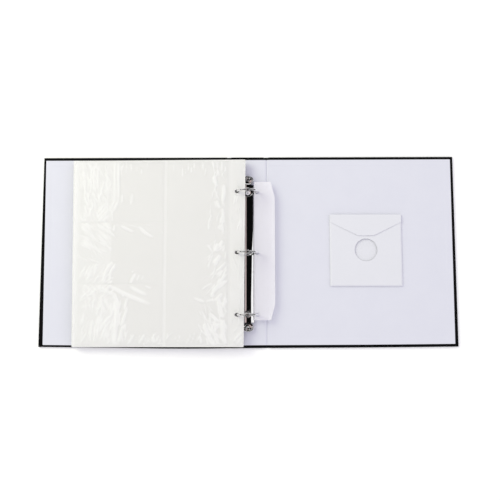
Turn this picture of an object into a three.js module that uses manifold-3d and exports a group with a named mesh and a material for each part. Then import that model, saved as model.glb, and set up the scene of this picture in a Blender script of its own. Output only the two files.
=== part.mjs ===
// Ring binder photo album lying open: case, three-ring mechanism, photo leaves, sheet lifter, disc pocket.
// Millimetres, +Z up. The origin is the middle of the spine's underside.
// The front cover lies towards -X, the back cover towards +X, and +Y is the head of the album.

import * as THREE from 'three';
import { mergeVertices } from 'three/addons/utils/BufferGeometryUtils.js';
import Module from 'manifold-3d';

const wasm = await Module();
wasm.setup();

// Case
const caseHeight = 336.5;
const coverReach = 328.25; // hinge gap to fore edge
const spineWidth = 58;
const hingeGap = 8; // between the spine board and a cover board
const boardThickness = 2.5;
const clothThickness = 0.5;
const liningThickness = 0.3;
const turnIn = 15; // cloth folded over each board's inner face
const frontForeMargin = 4.9; // cloth left bare round the lining
const backForeMargin = 2.5;
const headMargin = 3.1;
const tailMargin = 3.9;
const hingeValley = 1.6; // depth of the lining's fold in the hinge gap

// Ring mechanism
const mechanismShift = -5.4; // middle ring along Y
const ringSpacing = 108;
const ringRadius = 18; // to the middle of the wire
const wireRadius = 1.8;
const ringCentreHeight = 18.2; // above the lining
const ringSwing = 9; // degrees that each half ring opens
const lapReach = 3; // how far each ring tip passes the middle
const lapGap = 0.3;
const tipOffset = 0.9; // sideways bend of each ring tip
const tipBendAngle = 26; // degrees of ring that the bend takes
const tipStraight = 0.35; // share of that angle before the tip starts to bend back
const housingLength = 243;
const housingWidth = 25.5;
const housingHeight = 8;
const housingSide = 3.4; // straight foot of the arched housing
const housingWall = 0.9;
const slotClearance = 0.5; // round a wire where it enters the housing
const slotFloor = 1.6; // housing foot left under a wire
const slotReach = 4.2; // from the housing's side inwards
const bladeThickness = 1.2;
const bladePivotHeight = 3.4; // above the lining
const bladeSideGap = 0.35;
const bladeMiddleGap = 0.6;
const bladeEndGap = 0.4;
const wireFootGap = 0.3;
const rivetInset = 1.6; // from an end ring towards the middle
const rivetHeadRadius = 3.25;
const rivetHeadRoom = 1; // dimple's rim round the head
const rivetHeadHeight = 1;
const rivetRimHeight = 0.75; // head at the edge of its hole
const rivetHoleRadius = 1;
const rivetShankRadius = 1.6;
const rivetFootRadius = 3;
const rivetFootHeight = 0.6;
const rivetSeatDepth = 1.5; // dimple below the housing's crown
const rivetClearance = 0.2;
const rivetSideGap = 0.6; // from the shank to a blade

// Levers at both ends of the mechanism
const pinInset = 4.5; // from the housing's end to the pin
const pinHeight = 3; // above the lining
const pinRadius = 1;
const pinClearance = 0.15;
const pinEndInset = 0.45;
const barrelRadius = 2.4;
const neckWidth = 14;
const neckRoot = { low: 1.8, high: 2.1 }; // reach below and above the pin's axis
const neckMouth = { low: 1, high: 1.6 }; // the same at the housing's end
const neckTip = { low: 0.9, high: 0.3 }; // the same from the pad's middle, inside the pad
const neckTipInset = 4; // from the pad's middle towards the pin
const tongueLength = 6.5;
const tongueWidth = 8;
const tongueThickness = 1;
const tongueDrop = 1.6; // tongue top below the pin
const padWidth = 18.6;
const padLength = 15.4;
const padThickness = 1.6;
const padTilt = 10; // degrees, rising outwards
const padReach = 12.7; // pin to the middle of the pad
const padRise = 2.5; // pad middle above the pin
const knobRadius = 4.2;
const knobAside = 1.2; // towards the back cover
const knobReach = 0.8; // beyond the pad's middle

// Photo leaves, all turned over to the front cover
const leafCount = 6;
const leafHeight = 329;
const leafShift = 2.9; // leaf middle from the middle ring, along Y
const holeToForeEdge = 290.7;
const holeToBindingEdge = 12.3;
const filmThickness = 0.25;
const dividerThickness = 0.25;
const filmGap = 0.3;
const leafGap = 0.35; // between two leaves
const leafSeatGap = 0.3; // to what the lowest leaf lies on
const cornerRadius = 3;
const holeHalfWidth = 3.2;
const holeCornerRadius = 3;
const holeInner = 3.1; // from the wire's middle towards the binding edge
const holeOuter = 6.5; // and towards the fore edge

// Sheet lifter beside the rings
const lifterLength = 246;
const lifterShift = 3.4; // lifter middle from the middle ring, along Y
const lifterInner = 11.3; // edges from the middle of the spine
const lifterOuter = 47.7;
const lifterThickness = 0.6;
const lifterInnerHeight = 8.6; // above the lining
const lifterValleyHeight = 6.4;
const lifterOuterHeight = 10.2;
const lifterTaperLength = 28;
const lifterTaperWidth = 7.5;
const wireCrossing = 8.4; // where a ring passes the lifter, above the lining
const lifterHoleInner = 2.6; // edges of each hole from the ring, towards and away from the rings
const lifterHoleOuter = 5.4; // so that an open ring still clears the lifter when it stands up

// Disc pocket on the back cover
const pocketSide = 127;
const pocketX = 208.5;
const pocketY = -0.5;
const paperThickness = 0.3;
const pocketDepth = 2; // room for a disc
const pocketSeam = 4; // glued edge
const thumbHoleRadius = 20;
const thumbHoleRise = 0.8;
const flapGap = 0.3;
const flapDepth = 37;
const flapShoulder = 14; // straight part of the flap's sides
const flapTipWidth = 28;
const flapScoop = { start: 44.5, waist: 29.4, depth: 16.8 }; // curve between shoulder and tip
const flapFoldGap = 0.3;
const flapEdgeInset = 1;

// Facets of round pieces, and how far a cutter passes the face it opens
const smallRound = 16;
const mediumRound = 20;
const largeRound = 36;
const archSteps = 16;
const wireSteps = 15;
const wireSides = 6; // for each half of the wire's section
const past = 1;

// Levels and places that follow from the sizes above
const boardTop = clothThickness + boardThickness;
const turnInTop = boardTop + clothThickness;
const liningTop = turnInTop + liningThickness;
const spineEdge = spineWidth / 2;
const coverEdge = spineEdge + hingeGap;
const foreEdge = coverEdge + coverReach;
const head = caseHeight / 2;
const ringCentreZ = liningTop + ringCentreHeight;
const housingTop = liningTop + housingHeight;
const housingEnd = housingLength / 2;
const pivotZ = liningTop + bladePivotHeight;
const pivotX = archHalfWidth(pivotZ + bladeThickness, housingWall) - bladeSideGap;
const pinY = housingEnd - pinInset;
const pinZ = liningTop + pinHeight;
const ringPlaces = { top: ringSpacing, middle: 0, bottom: -ringSpacing };
const endPlaces = { top: 1, bottom: -1 };
const sides = { left: -1, right: 1 };

const paint = (color, roughness, metalness = 0) =>
  new THREE.MeshStandardMaterial({ color, roughness, metalness });
const finishes = {
  cloth: () => paint('#17171a', 0.7),
  greyBoard: () => paint('#8d877c', 0.95),
  lining: () => paint('#e4e3f0', 0.85),
  chrome: () => paint('#c9c9cc', 0.12, 1),
  steel: () => paint('#9da0a3', 0.4, 1),
  film: () => paint('#f3f4f4', 0.15),
  divider: () => paint('#f1f1ee', 0.8),
  lifter: () => paint('#e9e9f4', 0.5),
  paper: () => paint('#f2f2f6', 0.85),
};

// Box between two corners
function block(low, high) {
  const size = high.map((value, i) => value - low[i]);
  const middle = high.map((value, i) => (value + low[i]) / 2);
  return new THREE.BoxGeometry(...size).translate(...middle);
}

// Rod along X or Z, on its middle
function rod(radius, length, axis, segments = smallRound) {
  const geometry = new THREE.CylinderGeometry(radius, radius, length, segments);
  if (axis === 'x') geometry.rotateZ(Math.PI / 2);
  if (axis === 'z') geometry.rotateX(Math.PI / 2);
  return geometry;
}

// Outline in X and Y given a thickness from z0 to z1
function plate(shape, z0, z1, curveSegments = 6) {
  const geometry = new THREE.ExtrudeGeometry(shape, { depth: z1 - z0, bevelEnabled: false, curveSegments });
  return geometry.translate(0, 0, z0);
}

// Outline in X and Z carried along Y from y0 to y1
function channel(points, y0, y1) {
  const shape = new THREE.Shape(points.map(([x, z]) => new THREE.Vector2(x, z)));
  const geometry = new THREE.ExtrudeGeometry(shape, { depth: y1 - y0, bevelEnabled: false });
  return geometry.rotateX(Math.PI / 2).translate(0, y1, 0);
}

// Outline in Y and Z carried along X from x0 to x1
function rib(points, x0, x1) {
  const shape = new THREE.Shape(points.map(([y, z]) => new THREE.Vector2(y, z)));
  const geometry = new THREE.ExtrudeGeometry(shape, { depth: x1 - x0, bevelEnabled: false });
  return geometry.rotateZ(Math.PI / 2).rotateY(Math.PI / 2).translate(x0, 0, 0);
}

function toSolid(geometry) {
  const bare = geometry.clone();
  bare.deleteAttribute('normal');
  bare.deleteAttribute('uv');
  const merged = mergeVertices(bare, 1e-4);
  return new wasm.Manifold(
    new wasm.Mesh({
      numProp: 3,
      vertProperties: new Float32Array(merged.attributes.position.array),
      triVerts: new Uint32Array(merged.index.array),
    }),
  );
}

function toGeometry(solid) {
  const mesh = solid.getMesh();
  const geometry = new THREE.BufferGeometry();
  geometry.setAttribute('position', new THREE.BufferAttribute(new Float32Array(mesh.vertProperties), 3));
  geometry.setIndex(new THREE.BufferAttribute(new Uint32Array(mesh.triVerts), 1));
  const faceted = geometry.toNonIndexed();
  faceted.computeVertexNormals();
  return faceted;
}

// First shapes joined, and the others taken away
function carve(joined, removed = []) {
  let solid = joined.map(toSolid).reduce((sum, next) => sum.add(next));
  for (const geometry of removed) solid = solid.subtract(toSolid(geometry));
  return toGeometry(solid);
}

function node(name, geometry, material) {
  const mesh = new THREE.Mesh(geometry, material);
  mesh.name = name;
  return mesh;
}

// Rectangle with round corners, as a Shape
function roundedRectangle(x0, y0, x1, y1, radius) {
  const shape = new THREE.Shape();
  shape.moveTo(x0 + radius, y0);
  shape.lineTo(x1 - radius, y0);
  shape.absarc(x1 - radius, y0 + radius, radius, -Math.PI / 2, 0, false);
  shape.lineTo(x1, y1 - radius);
  shape.absarc(x1 - radius, y1 - radius, radius, 0, Math.PI / 2, false);
  shape.lineTo(x0 + radius, y1);
  shape.absarc(x0 + radius, y1 - radius, radius, Math.PI / 2, Math.PI, false);
  shape.lineTo(x0, y0 + radius);
  shape.absarc(x0 + radius, y0 + radius, radius, Math.PI, Math.PI * 1.5, false);
  return shape;
}

// Case: boards, the cloth that wraps them and the lining, on one side of the spine
function cover(side, name, foreMargin) {
  const group = new THREE.Group();
  const across = (near, far) => (side < 0 ? [-far, -near] : [near, far]);
  const slab = (near, far, y0, y1, z0, z1) => {
    const [x0, x1] = across(near, far);
    return block([x0, y0, z0], [x1, y1, z1]);
  };
  const boardFore = foreEdge - clothThickness;
  const boardHead = head - clothThickness;
  const board = slab(coverEdge, boardFore, -boardHead, boardHead, clothThickness, boardTop);
  group.add(node(`${name}_board`, board, finishes.greyBoard()));

  const cloth = carve(
    [slab(coverEdge, foreEdge, -head, head, 0, turnInTop)],
    [
      slab(coverEdge - past, boardFore, -boardHead, boardHead, clothThickness, boardTop),
      slab(coverEdge - past, foreEdge - turnIn, turnIn - head, head - turnIn, boardTop, turnInTop + past),
    ],
  );
  group.add(node(`${name}_cloth`, cloth, finishes.cloth()));

  const lining = carve([
    slab(coverEdge, foreEdge - foreMargin, tailMargin - head, head - headMargin, turnInTop, liningTop),
    slab(coverEdge, foreEdge - turnIn, turnIn - head, head - turnIn, boardTop, liningTop),
  ]);
  group.add(node(`${name}_lining`, lining, finishes.lining()));
  return group;
}

// Hinge on one side of the spine: cloth outside, and a fold of lining inside
function hinge(side, name) {
  const group = new THREE.Group();
  const [x0, x1] = side < 0 ? [-coverEdge, -spineEdge] : [spineEdge, coverEdge];
  const foldTop = 2 * clothThickness;
  const cloth = carve(
    [block([x0, -head, 0], [x1, head, foldTop])],
    [block([x0 - past, turnIn - head, clothThickness], [x1 + past, head - turnIn, foldTop + past])],
  );
  group.add(node(`${name}_hinge_cloth`, cloth, finishes.cloth()));

  const middle = (x0 + x1) / 2;
  const fold = channel(
    [
      [x0, turnInTop],
      [middle, turnInTop - hingeValley],
      [x1, turnInTop],
      [x1, liningTop],
      [middle, liningTop - hingeValley],
      [x0, liningTop],
    ],
    tailMargin - head,
    head - headMargin,
  );
  group.add(node(`${name}_hinge_lining`, fold, finishes.lining()));
  return group;
}

function rivetPlace(end) {
  return mechanismShift + endPlaces[end] * (ringSpacing - rivetInset);
}

function spine() {
  const group = new THREE.Group();
  const boardHead = head - clothThickness;
  const rivetHoles = (low, high, radius) =>
    Object.keys(endPlaces).map((end) =>
      rod(radius, high - low, 'z').translate(0, rivetPlace(end), (low + high) / 2),
    );
  const shankHole = rivetShankRadius + rivetClearance;
  const footRoom = clothThickness + 2 * rivetClearance + rivetFootHeight;
  const board = carve(
    [block([-spineEdge, -boardHead, clothThickness], [spineEdge, boardHead, boardTop])],
    [
      ...rivetHoles(0, boardTop + past, shankHole),
      ...rivetHoles(0, footRoom, rivetFootRadius + rivetClearance),
    ],
  );
  group.add(node('spine_board', board, finishes.greyBoard()));

  const cloth = carve(
    [block([-spineEdge, -head, 0], [spineEdge, head, turnInTop])],
    [
      block([-spineEdge - past, -boardHead, clothThickness], [spineEdge + past, boardHead, boardTop]),
      block([-spineEdge - past, turnIn - head, boardTop], [spineEdge + past, head - turnIn, liningTop]),
    ],
  );
  group.add(node('spine_cloth', cloth, finishes.cloth()));

  const lining = carve(
    [
      block([-spineEdge, tailMargin - head, turnInTop], [spineEdge, head - headMargin, liningTop]),
      block([-spineEdge, turnIn - head, boardTop], [spineEdge, head - turnIn, liningTop]),
    ],
    rivetHoles(boardTop - past, liningTop + past, shankHole),
  );
  group.add(node('spine_lining', lining, finishes.lining()));
  return group;
}

// Height of the housing's outer skin, or of the skin that lies wall below it, at x
function archHeight(x, wall = 0) {
  const halfWidth = housingWidth / 2 - wall;
  const rise = housingHeight - housingSide - wall;
  return liningTop + housingSide + rise * Math.sqrt(Math.max(0, 1 - (x / halfWidth) ** 2));
}

// Half of the skin's width at height z
function archHalfWidth(z, wall = 0) {
  const rise = housingHeight - housingSide - wall;
  const up = Math.max(0, z - liningTop - housingSide) / rise;
  return (housingWidth / 2 - wall) * Math.sqrt(Math.max(0, 1 - up ** 2));
}

function housing() {
  const halfWidth = housingWidth / 2;
  const skin = (wall) => {
    const points = [[halfWidth - wall, liningTop]];
    for (let i = 0; i <= archSteps; i += 1) {
      const x = (halfWidth - wall) * Math.cos((Math.PI * i) / archSteps);
      points.push([x, archHeight(x, wall)]);
    }
    points.push([wall - halfWidth, liningTop]);
    return points;
  };
  const shell = channel([...skin(0), ...skin(housingWall).reverse()], -housingEnd, housingEnd);

  const slots = [];
  for (const y of Object.values(ringPlaces)) {
    const reach = wireRadius + tipOffset / 2 + slotClearance;
    for (const side of Object.values(sides)) {
      const edges = [side * (halfWidth + past), side * (halfWidth - slotReach)].sort((a, b) => a - b);
      const low = liningTop + slotFloor;
      slots.push(block([edges[0], y - reach, low], [edges[1], y + reach, housingTop + past]));
    }
  }
  const cups = [];
  const cupRoom = [];
  const seatZ = housingTop - rivetSeatDepth;
  for (const end of Object.keys(endPlaces)) {
    const y = rivetPlace(end) - mechanismShift;
    const room = rivetHeadRadius + rivetHeadRoom;
    const cupHeight = rivetSeatDepth + housingWall / 2;
    const cup = rod(room + housingWall, cupHeight, 'z', mediumRound);
    cups.push(cup.translate(0, y, seatZ - housingWall + cupHeight / 2));
    const aboveSeat = seatZ + housingHeight / 2;
    cupRoom.push(rod(room, housingHeight, 'z', mediumRound).translate(0, y, aboveSeat));
    cupRoom.push(rod(rivetShankRadius + rivetClearance, housingHeight, 'z').translate(0, y, seatZ));
  }
  const pinHoles = Object.values(endPlaces).map((end) =>
    rod(pinRadius + pinClearance, housingWidth + 2 * past, 'x').translate(0, end * pinY, pinZ),
  );
  const body = carve([shell, ...cups], [...slots, ...cupRoom, ...pinHoles]);
  return node('ring_housing', body, finishes.chrome());
}

// Route of one half ring: an arc whose tip bends sideways, so that the two tips pass each other
class HalfRingCurve extends THREE.Curve {
  constructor(side) {
    super();
    this.side = side;
    this.tipAngle = Math.PI / 2 - Math.asin(lapReach / ringRadius);
    this.footAngle = Math.PI + Math.asin((ringCentreZ - pivotZ + wireFootGap) / ringRadius);
  }

  getPoint(t, target = new THREE.Vector3()) {
    const angle = this.tipAngle + (this.footAngle - this.tipAngle) * t;
    const bent = THREE.MathUtils.radToDeg(angle - this.tipAngle) / tipBendAngle;
    const aside = tipOffset * (1 - THREE.MathUtils.smoothstep(bent, tipStraight, 1));
    const across = ringRadius * Math.cos(angle) * -this.side;
    return target.set(across, -this.side * aside, ringCentreZ + ringRadius * Math.sin(angle));
  }
}

function wire(side, radius, sections) {
  const section = new THREE.Shape().absarc(0, 0, radius, 0, Math.PI * 2, false);
  return new THREE.ExtrudeGeometry(section, {
    steps: wireSteps,
    extrudePath: new HalfRingCurve(side),
    curveSegments: sections,
    bevelEnabled: false,
  });
}

function halfRing(side) {
  const lapEdge = side * (lapReach + lapGap);
  const farEdge = -side * ringRadius;
  const lap = [lapEdge, farEdge].sort((a, b) => a - b);
  const keep = [side * (wireRadius + tipOffset + past), -side * (lapGap / 2)].sort((a, b) => a - b);
  const crown = ringCentreZ + ringRadius / 2;
  const beyondTip = block([lap[0], keep[0], crown], [lap[1], keep[1], crown + ringRadius]);
  return carve([wire(side, wireRadius, wireSides)], [beyondTip]);
}

function blade(side) {
  const reach = housingEnd - pinInset - barrelRadius - bladeEndGap;
  const width = pivotX - bladeMiddleGap / 2;
  const half = bladeThickness / 2;
  const near = Math.min(0, -side * width);
  const geometry = block([near, -reach, -half], [near + width, reach, half]);
  geometry.rotateY((-side * THREE.MathUtils.degToRad(ringSwing)) / 2);
  geometry.translate(side * pivotX, 0, pivotZ);
  const room = wireRadius + wireFootGap;
  const cuts = Object.values(ringPlaces).map((y) => wire(side, room, wireSides).translate(0, y, 0));
  for (const end of Object.keys(endPlaces)) {
    const y = rivetPlace(end) - mechanismShift;
    cuts.push(rod(rivetShankRadius + rivetSideGap, housingHeight, 'z').translate(0, y, pivotZ));
  }
  return carve([geometry], cuts);
}

// Lever: barrel on the pin, tongue under the blades, and a round pad with a knob outside
function lever(end) {
  const along = endPlaces[end];
  const barrel = rod(barrelRadius, neckWidth, 'x', mediumRound);
  const tongueEdges = [-along * tongueLength, 0].sort((a, b) => a - b);
  const tongue = block(
    [-tongueWidth / 2, tongueEdges[0], -tongueDrop - tongueThickness],
    [tongueWidth / 2, tongueEdges[1], -tongueDrop],
  );
  const neck = rib(
    [
      [0, -neckRoot.low],
      [pinInset, -neckMouth.low],
      [padReach - neckTipInset, padRise - neckTip.low],
      [padReach - neckTipInset, padRise + neckTip.high],
      [pinInset, neckMouth.high],
      [0, neckRoot.high],
    ].map(([y, z]) => [along * y, z]),
    -neckWidth / 2,
    neckWidth / 2,
  );
  const pad = rod(1, padThickness, 'z', mediumRound).scale(padWidth / 2, padLength / 2, 1);
  pad.rotateX(along * THREE.MathUtils.degToRad(padTilt)).translate(0, along * padReach, padRise);
  const bore = rod(pinRadius + pinClearance, neckWidth + 2 * past, 'x');

  // The ball keeps only what is above the pad's underside
  const ball = new THREE.SphereGeometry(knobRadius, smallRound, smallRound / 2);
  ball.translate(knobAside, along * (padReach + knobReach), padRise);
  const underPad = rod(knobRadius + past, knobRadius * 2, 'z');
  underPad.rotateX(along * THREE.MathUtils.degToRad(padTilt));
  underPad.translate(knobAside, along * (padReach + knobReach), padRise - knobRadius - padThickness / 2);
  const knob = carve([ball], [underPad]);
  return carve([knob, barrel, tongue, neck, pad], [bore]);
}

function rivet() {
  const footZ = clothThickness + rivetClearance;
  const headZ = housingTop - rivetSeatDepth;
  const profile = [
    [rivetHoleRadius, footZ],
    [rivetFootRadius, footZ],
    [rivetFootRadius, footZ + rivetFootHeight],
    [rivetShankRadius, footZ + rivetFootHeight],
    [rivetShankRadius, headZ],
    [rivetHeadRadius, headZ],
    [rivetHeadRadius, headZ + rivetHeadHeight / 2],
    [(rivetHeadRadius + rivetShankRadius) / 2, headZ + rivetHeadHeight],
    [rivetHoleRadius, headZ + rivetRimHeight],
    [rivetHoleRadius, footZ],
  ];
  const points = profile.map(([r, z]) => new THREE.Vector2(r, z));
  return new THREE.LatheGeometry(points, mediumRound).rotateX(Math.PI / 2);
}

function mechanism() {
  const group = new THREE.Group();
  group.position.y = mechanismShift;
  group.add(housing());
  for (const [sideName, side] of Object.entries(sides)) {
    group.add(node(`${sideName}_blade`, blade(side), finishes.steel()));
    for (const [place, y] of Object.entries(ringPlaces)) {
      const half = node(`${sideName}_half_ring_${place}`, halfRing(side), finishes.chrome());
      half.position.y = y;
      group.add(half);
    }
  }
  for (const [end, along] of Object.entries(endPlaces)) {
    const press = node(`${end}_lever`, lever(end), finishes.chrome());
    press.position.set(0, along * pinY, pinZ);
    const pinRod = rod(pinRadius, housingWidth - 2 * pinEndInset, 'x');
    const pin = node(`${end}_lever_pin`, pinRod, finishes.steel());
    pin.position.copy(press.position);
    const stud = node(`${end}_rivet`, rivet(), finishes.chrome());
    stud.position.y = rivetPlace(end) - mechanismShift;
    group.add(press, pin, stud);
  }
  return group;
}

// Round-ended hole for a wire, open towards negative x by outer and towards positive x by inner
function wireHole(y, inner, outer) {
  return roundedRectangle(-outer, y - holeHalfWidth, inner, y + holeHalfWidth, holeCornerRadius);
}

function leafLayer(z0, thickness) {
  const tail = leafShift - leafHeight / 2;
  const outline = roundedRectangle(-holeToForeEdge, tail, holeToBindingEdge, tail + leafHeight, cornerRadius);
  for (const y of Object.values(ringPlaces)) outline.holes.push(wireHole(y, holeInner, holeOuter));
  return plate(outline, z0, z0 + thickness, 1);
}

function leaves() {
  const group = new THREE.Group();
  group.position.y = mechanismShift;
  const thickness = 2 * (filmThickness + filmGap) + dividerThickness;
  const pitch = thickness + leafGap;
  const across = (z) => -Math.sqrt(ringRadius ** 2 - (z - ringCentreZ) ** 2);

  // The lowest leaf leans on the front cover's lining and on the housing's crown
  const half = thickness / 2;
  const guess = across(housingTop + leafSeatGap + half) + holeToBindingEdge;
  const holeZ = archHeight(guess) + leafSeatGap + half;
  const foreZ = liningTop + leafSeatGap + half;
  const tilt = Math.atan((holeZ - foreZ) / (holeToForeEdge + holeToBindingEdge));
  for (let i = 0; i < leafCount; i += 1) {
    const z = holeZ - holeToBindingEdge * Math.sin(tilt) + i * pitch;
    const leaf = new THREE.Group();
    leaf.position.set(across(z), 0, z);
    leaf.rotation.y = -tilt;
    const name = `leaf_${i + 1}`;
    leaf.add(node(`${name}_lower_film`, leafLayer(-half, filmThickness), finishes.film()));
    leaf.add(node(`${name}_divider`, leafLayer(-dividerThickness / 2, dividerThickness), finishes.divider()));
    leaf.add(node(`${name}_upper_film`, leafLayer(half - filmThickness, filmThickness), finishes.film()));
    group.add(leaf);
  }
  return group;
}

// Curved strip with a hole for each ring and its outer corners cut off
function sheetLifter() {
  const curve = new THREE.QuadraticBezierCurve(
    new THREE.Vector2(lifterInner, liningTop + lifterInnerHeight),
    new THREE.Vector2((lifterInner + lifterOuter) / 2, liningTop + lifterValleyHeight),
    new THREE.Vector2(lifterOuter, liningTop + lifterOuterHeight),
  );
  const under = curve.getPoints(8).map((point) => [point.x, point.y]);
  const over = under.map(([x, z]) => [x, z + lifterThickness]).reverse();
  const strip = channel([...under, ...over], -lifterLength / 2, lifterLength / 2);

  const taperStart = lifterLength / 2 - lifterTaperLength;
  const corners = Object.values(endPlaces).map((end) => {
    const shape = new THREE.Shape();
    shape.moveTo(lifterOuter, end * taperStart);
    shape.lineTo(lifterOuter - lifterTaperWidth, (end * lifterLength) / 2);
    shape.lineTo(lifterOuter - lifterTaperWidth, end * (lifterLength / 2 + past));
    shape.lineTo(lifterOuter + past, end * (lifterLength / 2 + past));
    shape.lineTo(lifterOuter + past, end * taperStart);
    return plate(shape, liningTop, liningTop + 2 * lifterOuterHeight);
  });
  const crossingZ = liningTop + wireCrossing;
  const crossingX = Math.sqrt(ringRadius ** 2 - (crossingZ - ringCentreZ) ** 2);
  const holes = Object.values(ringPlaces).map((y) => {
    const hole = wireHole(y - lifterShift, lifterHoleOuter, lifterHoleInner);
    return plate(hole, 0, housingTop + ringRadius, 4).translate(crossingX, 0, 0);
  });
  const lifter = node('sheet_lifter', carve([strip], [...corners, ...holes]), finishes.lifter());
  lifter.position.y = mechanismShift + lifterShift;
  return lifter;
}

function discPocket() {
  const group = new THREE.Group();
  group.position.set(pocketX, pocketY, liningTop);
  const half = pocketSide / 2;
  const backTop = paperThickness;
  const frontLow = backTop + pocketDepth;
  const frontTop = frontLow + paperThickness;
  const flapLow = frontTop + flapGap;
  const flapTop = flapLow + paperThickness;
  const foldZ = (backTop + flapTop) / 2;

  const side = half - flapEdgeInset;
  const top = half + paperThickness;
  const back = carve([
    block([-half, -half, 0], [half, half, backTop]),
    block([-side, half, 0], [side, top, foldZ - flapFoldGap / 2]),
  ]);
  group.add(node('pocket_back_panel', back, finishes.paper()));

  const hole = rod(thumbHoleRadius, 4 * frontTop, 'z', largeRound).translate(0, thumbHoleRise, frontTop);
  const front = carve(
    [block([-half, -half, backTop], [half, half - flapFoldGap, frontTop])],
    [block([pocketSeam - half, pocketSeam - half, 0], [half - pocketSeam, half + past, frontLow]), hole],
  );
  group.add(node('pocket_front_panel', front, finishes.paper()));

  const outline = new THREE.Shape();
  outline.moveTo(-side, top);
  outline.lineTo(-side, top - flapShoulder / 2);
  outline.quadraticCurveTo(-side, top - flapShoulder, -flapScoop.start, top - flapShoulder);
  outline.quadraticCurveTo(-flapScoop.waist, top - flapScoop.depth, -flapTipWidth / 2, top - flapDepth);
  outline.lineTo(flapTipWidth / 2, top - flapDepth);
  outline.quadraticCurveTo(flapScoop.waist, top - flapScoop.depth, flapScoop.start, top - flapShoulder);
  outline.quadraticCurveTo(side, top - flapShoulder, side, top - flapShoulder / 2);
  outline.lineTo(side, top);
  const flap = carve([
    plate(outline, flapLow, flapTop, 8),
    block([-side, half, foldZ + flapFoldGap / 2], [side, top, flapTop]),
  ]);
  group.add(node('pocket_flap', flap, finishes.paper()));
  return group;
}

const album = new THREE.Group();
album.add(cover(-1, 'front', frontForeMargin));
album.add(cover(1, 'back', backForeMargin));
album.add(hinge(-1, 'front'), hinge(1, 'back'));
album.add(spine());
album.add(mechanism());
album.add(leaves());
album.add(sheetLifter());
album.add(discPocket());

export default album;
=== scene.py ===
import math

import bpy
import numpy as np
from mathutils import Matrix, Vector


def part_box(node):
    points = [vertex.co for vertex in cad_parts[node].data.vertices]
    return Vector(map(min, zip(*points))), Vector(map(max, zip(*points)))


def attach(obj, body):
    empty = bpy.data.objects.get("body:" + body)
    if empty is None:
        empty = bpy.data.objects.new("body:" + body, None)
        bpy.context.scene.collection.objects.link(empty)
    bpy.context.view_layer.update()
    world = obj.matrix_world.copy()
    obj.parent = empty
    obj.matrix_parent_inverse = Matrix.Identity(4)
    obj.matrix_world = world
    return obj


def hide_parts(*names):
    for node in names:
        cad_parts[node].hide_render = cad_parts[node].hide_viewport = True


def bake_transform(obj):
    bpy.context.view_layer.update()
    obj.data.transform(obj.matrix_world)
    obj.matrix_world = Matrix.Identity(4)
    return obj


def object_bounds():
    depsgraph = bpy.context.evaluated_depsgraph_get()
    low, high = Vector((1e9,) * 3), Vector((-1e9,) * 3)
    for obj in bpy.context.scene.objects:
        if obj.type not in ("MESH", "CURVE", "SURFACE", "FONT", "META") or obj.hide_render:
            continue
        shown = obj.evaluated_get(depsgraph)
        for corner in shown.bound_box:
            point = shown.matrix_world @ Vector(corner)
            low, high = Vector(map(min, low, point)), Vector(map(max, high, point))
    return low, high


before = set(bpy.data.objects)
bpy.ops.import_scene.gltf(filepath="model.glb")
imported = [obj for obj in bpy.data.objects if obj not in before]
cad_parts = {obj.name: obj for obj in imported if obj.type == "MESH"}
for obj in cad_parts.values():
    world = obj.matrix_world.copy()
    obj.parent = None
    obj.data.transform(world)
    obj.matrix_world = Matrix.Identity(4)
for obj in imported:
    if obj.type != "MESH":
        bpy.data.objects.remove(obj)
cadLow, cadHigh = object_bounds()
mm = 0.001

# The photograph's camera, from the case's corners, the rings and the disc pocket
shot = dict(place=(0.0066, -0.1193, 1.1486), tilt=5.979, pan=0.134, roll=-0.069, focal=651.3, picture=500)


def turn(axis, degrees):
    return Matrix.Rotation(math.radians(degrees), 4, axis)


def makeCamera():
    data = bpy.data.cameras.new("camera")
    data.sensor_width = 36
    data.lens = 36 * shot["focal"] / shot["picture"]
    camera = bpy.data.objects.new("camera", data)
    bpy.context.scene.collection.objects.link(camera)
    aim = turn("X", shot["tilt"]) @ turn("Y", shot["pan"]) @ turn("Z", shot["roll"])
    camera.matrix_world = Matrix.Translation(shot["place"]) @ aim
    bpy.context.scene.camera = camera
    return aim


shotAim = makeCamera()


# The ray through a point of the picture, followed down to height z
def throughPixel(u, v, z):
    ray = shotAim @ Vector((u - shot["picture"] / 2, shot["picture"] / 2 - v, -shot["focal"]))
    reach = (z - shot["place"][2]) / ray.z
    return shot["place"][0] + ray.x * reach, shot["place"][1] + ray.y * reach


# Smooth step from 0 at a to 1 at b
def ease(value, a, b):
    t = np.clip((np.asarray(value, float) - a) / (b - a), 0, 1)
    return t * t * (3 - 2 * t)


def meshObject(name, points, faces, values=None, sharp=35):
    mesh = bpy.data.meshes.new(name)
    mesh.from_pydata(points, [], faces)
    mesh.polygons.foreach_set("use_smooth", np.ones(len(mesh.polygons), bool))
    mesh.set_sharp_from_angle(angle=math.radians(sharp))
    for key, value in (values or {}).items():
        layer = mesh.attributes.new(key, "FLOAT", "POINT")
        layer.data.foreach_set("value", np.asarray(value, np.float32).ravel())
    mesh.update()
    piece = bpy.data.objects.new(name, mesh)
    bpy.context.scene.collection.objects.link(piece)
    return piece


def grid(xs, ys):
    return np.meshgrid(xs, ys, indexing="ij")


# Quads of a grid of nu by nv points, in rows of v, with a seam closed where asked
def gridQuads(nu, nv, closeU=False, closeV=False):
    index = np.arange(nu * nv).reshape(nu, nv)
    if closeU:
        index = np.vstack([index, index[:1]])
    if closeV:
        index = np.hstack([index, index[:, :1]])
    return np.stack([index[:-1, :-1], index[1:, :-1], index[1:, 1:], index[:-1, 1:]], -1)


# Only the points that a face uses, renumbered
def usedOnly(points, faces, values):
    used, renumbered = np.unique(faces, return_inverse=True)
    kept = {key: value[used] for key, value in values.items()}
    return points[used], renumbered.reshape(faces.shape), kept


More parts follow.
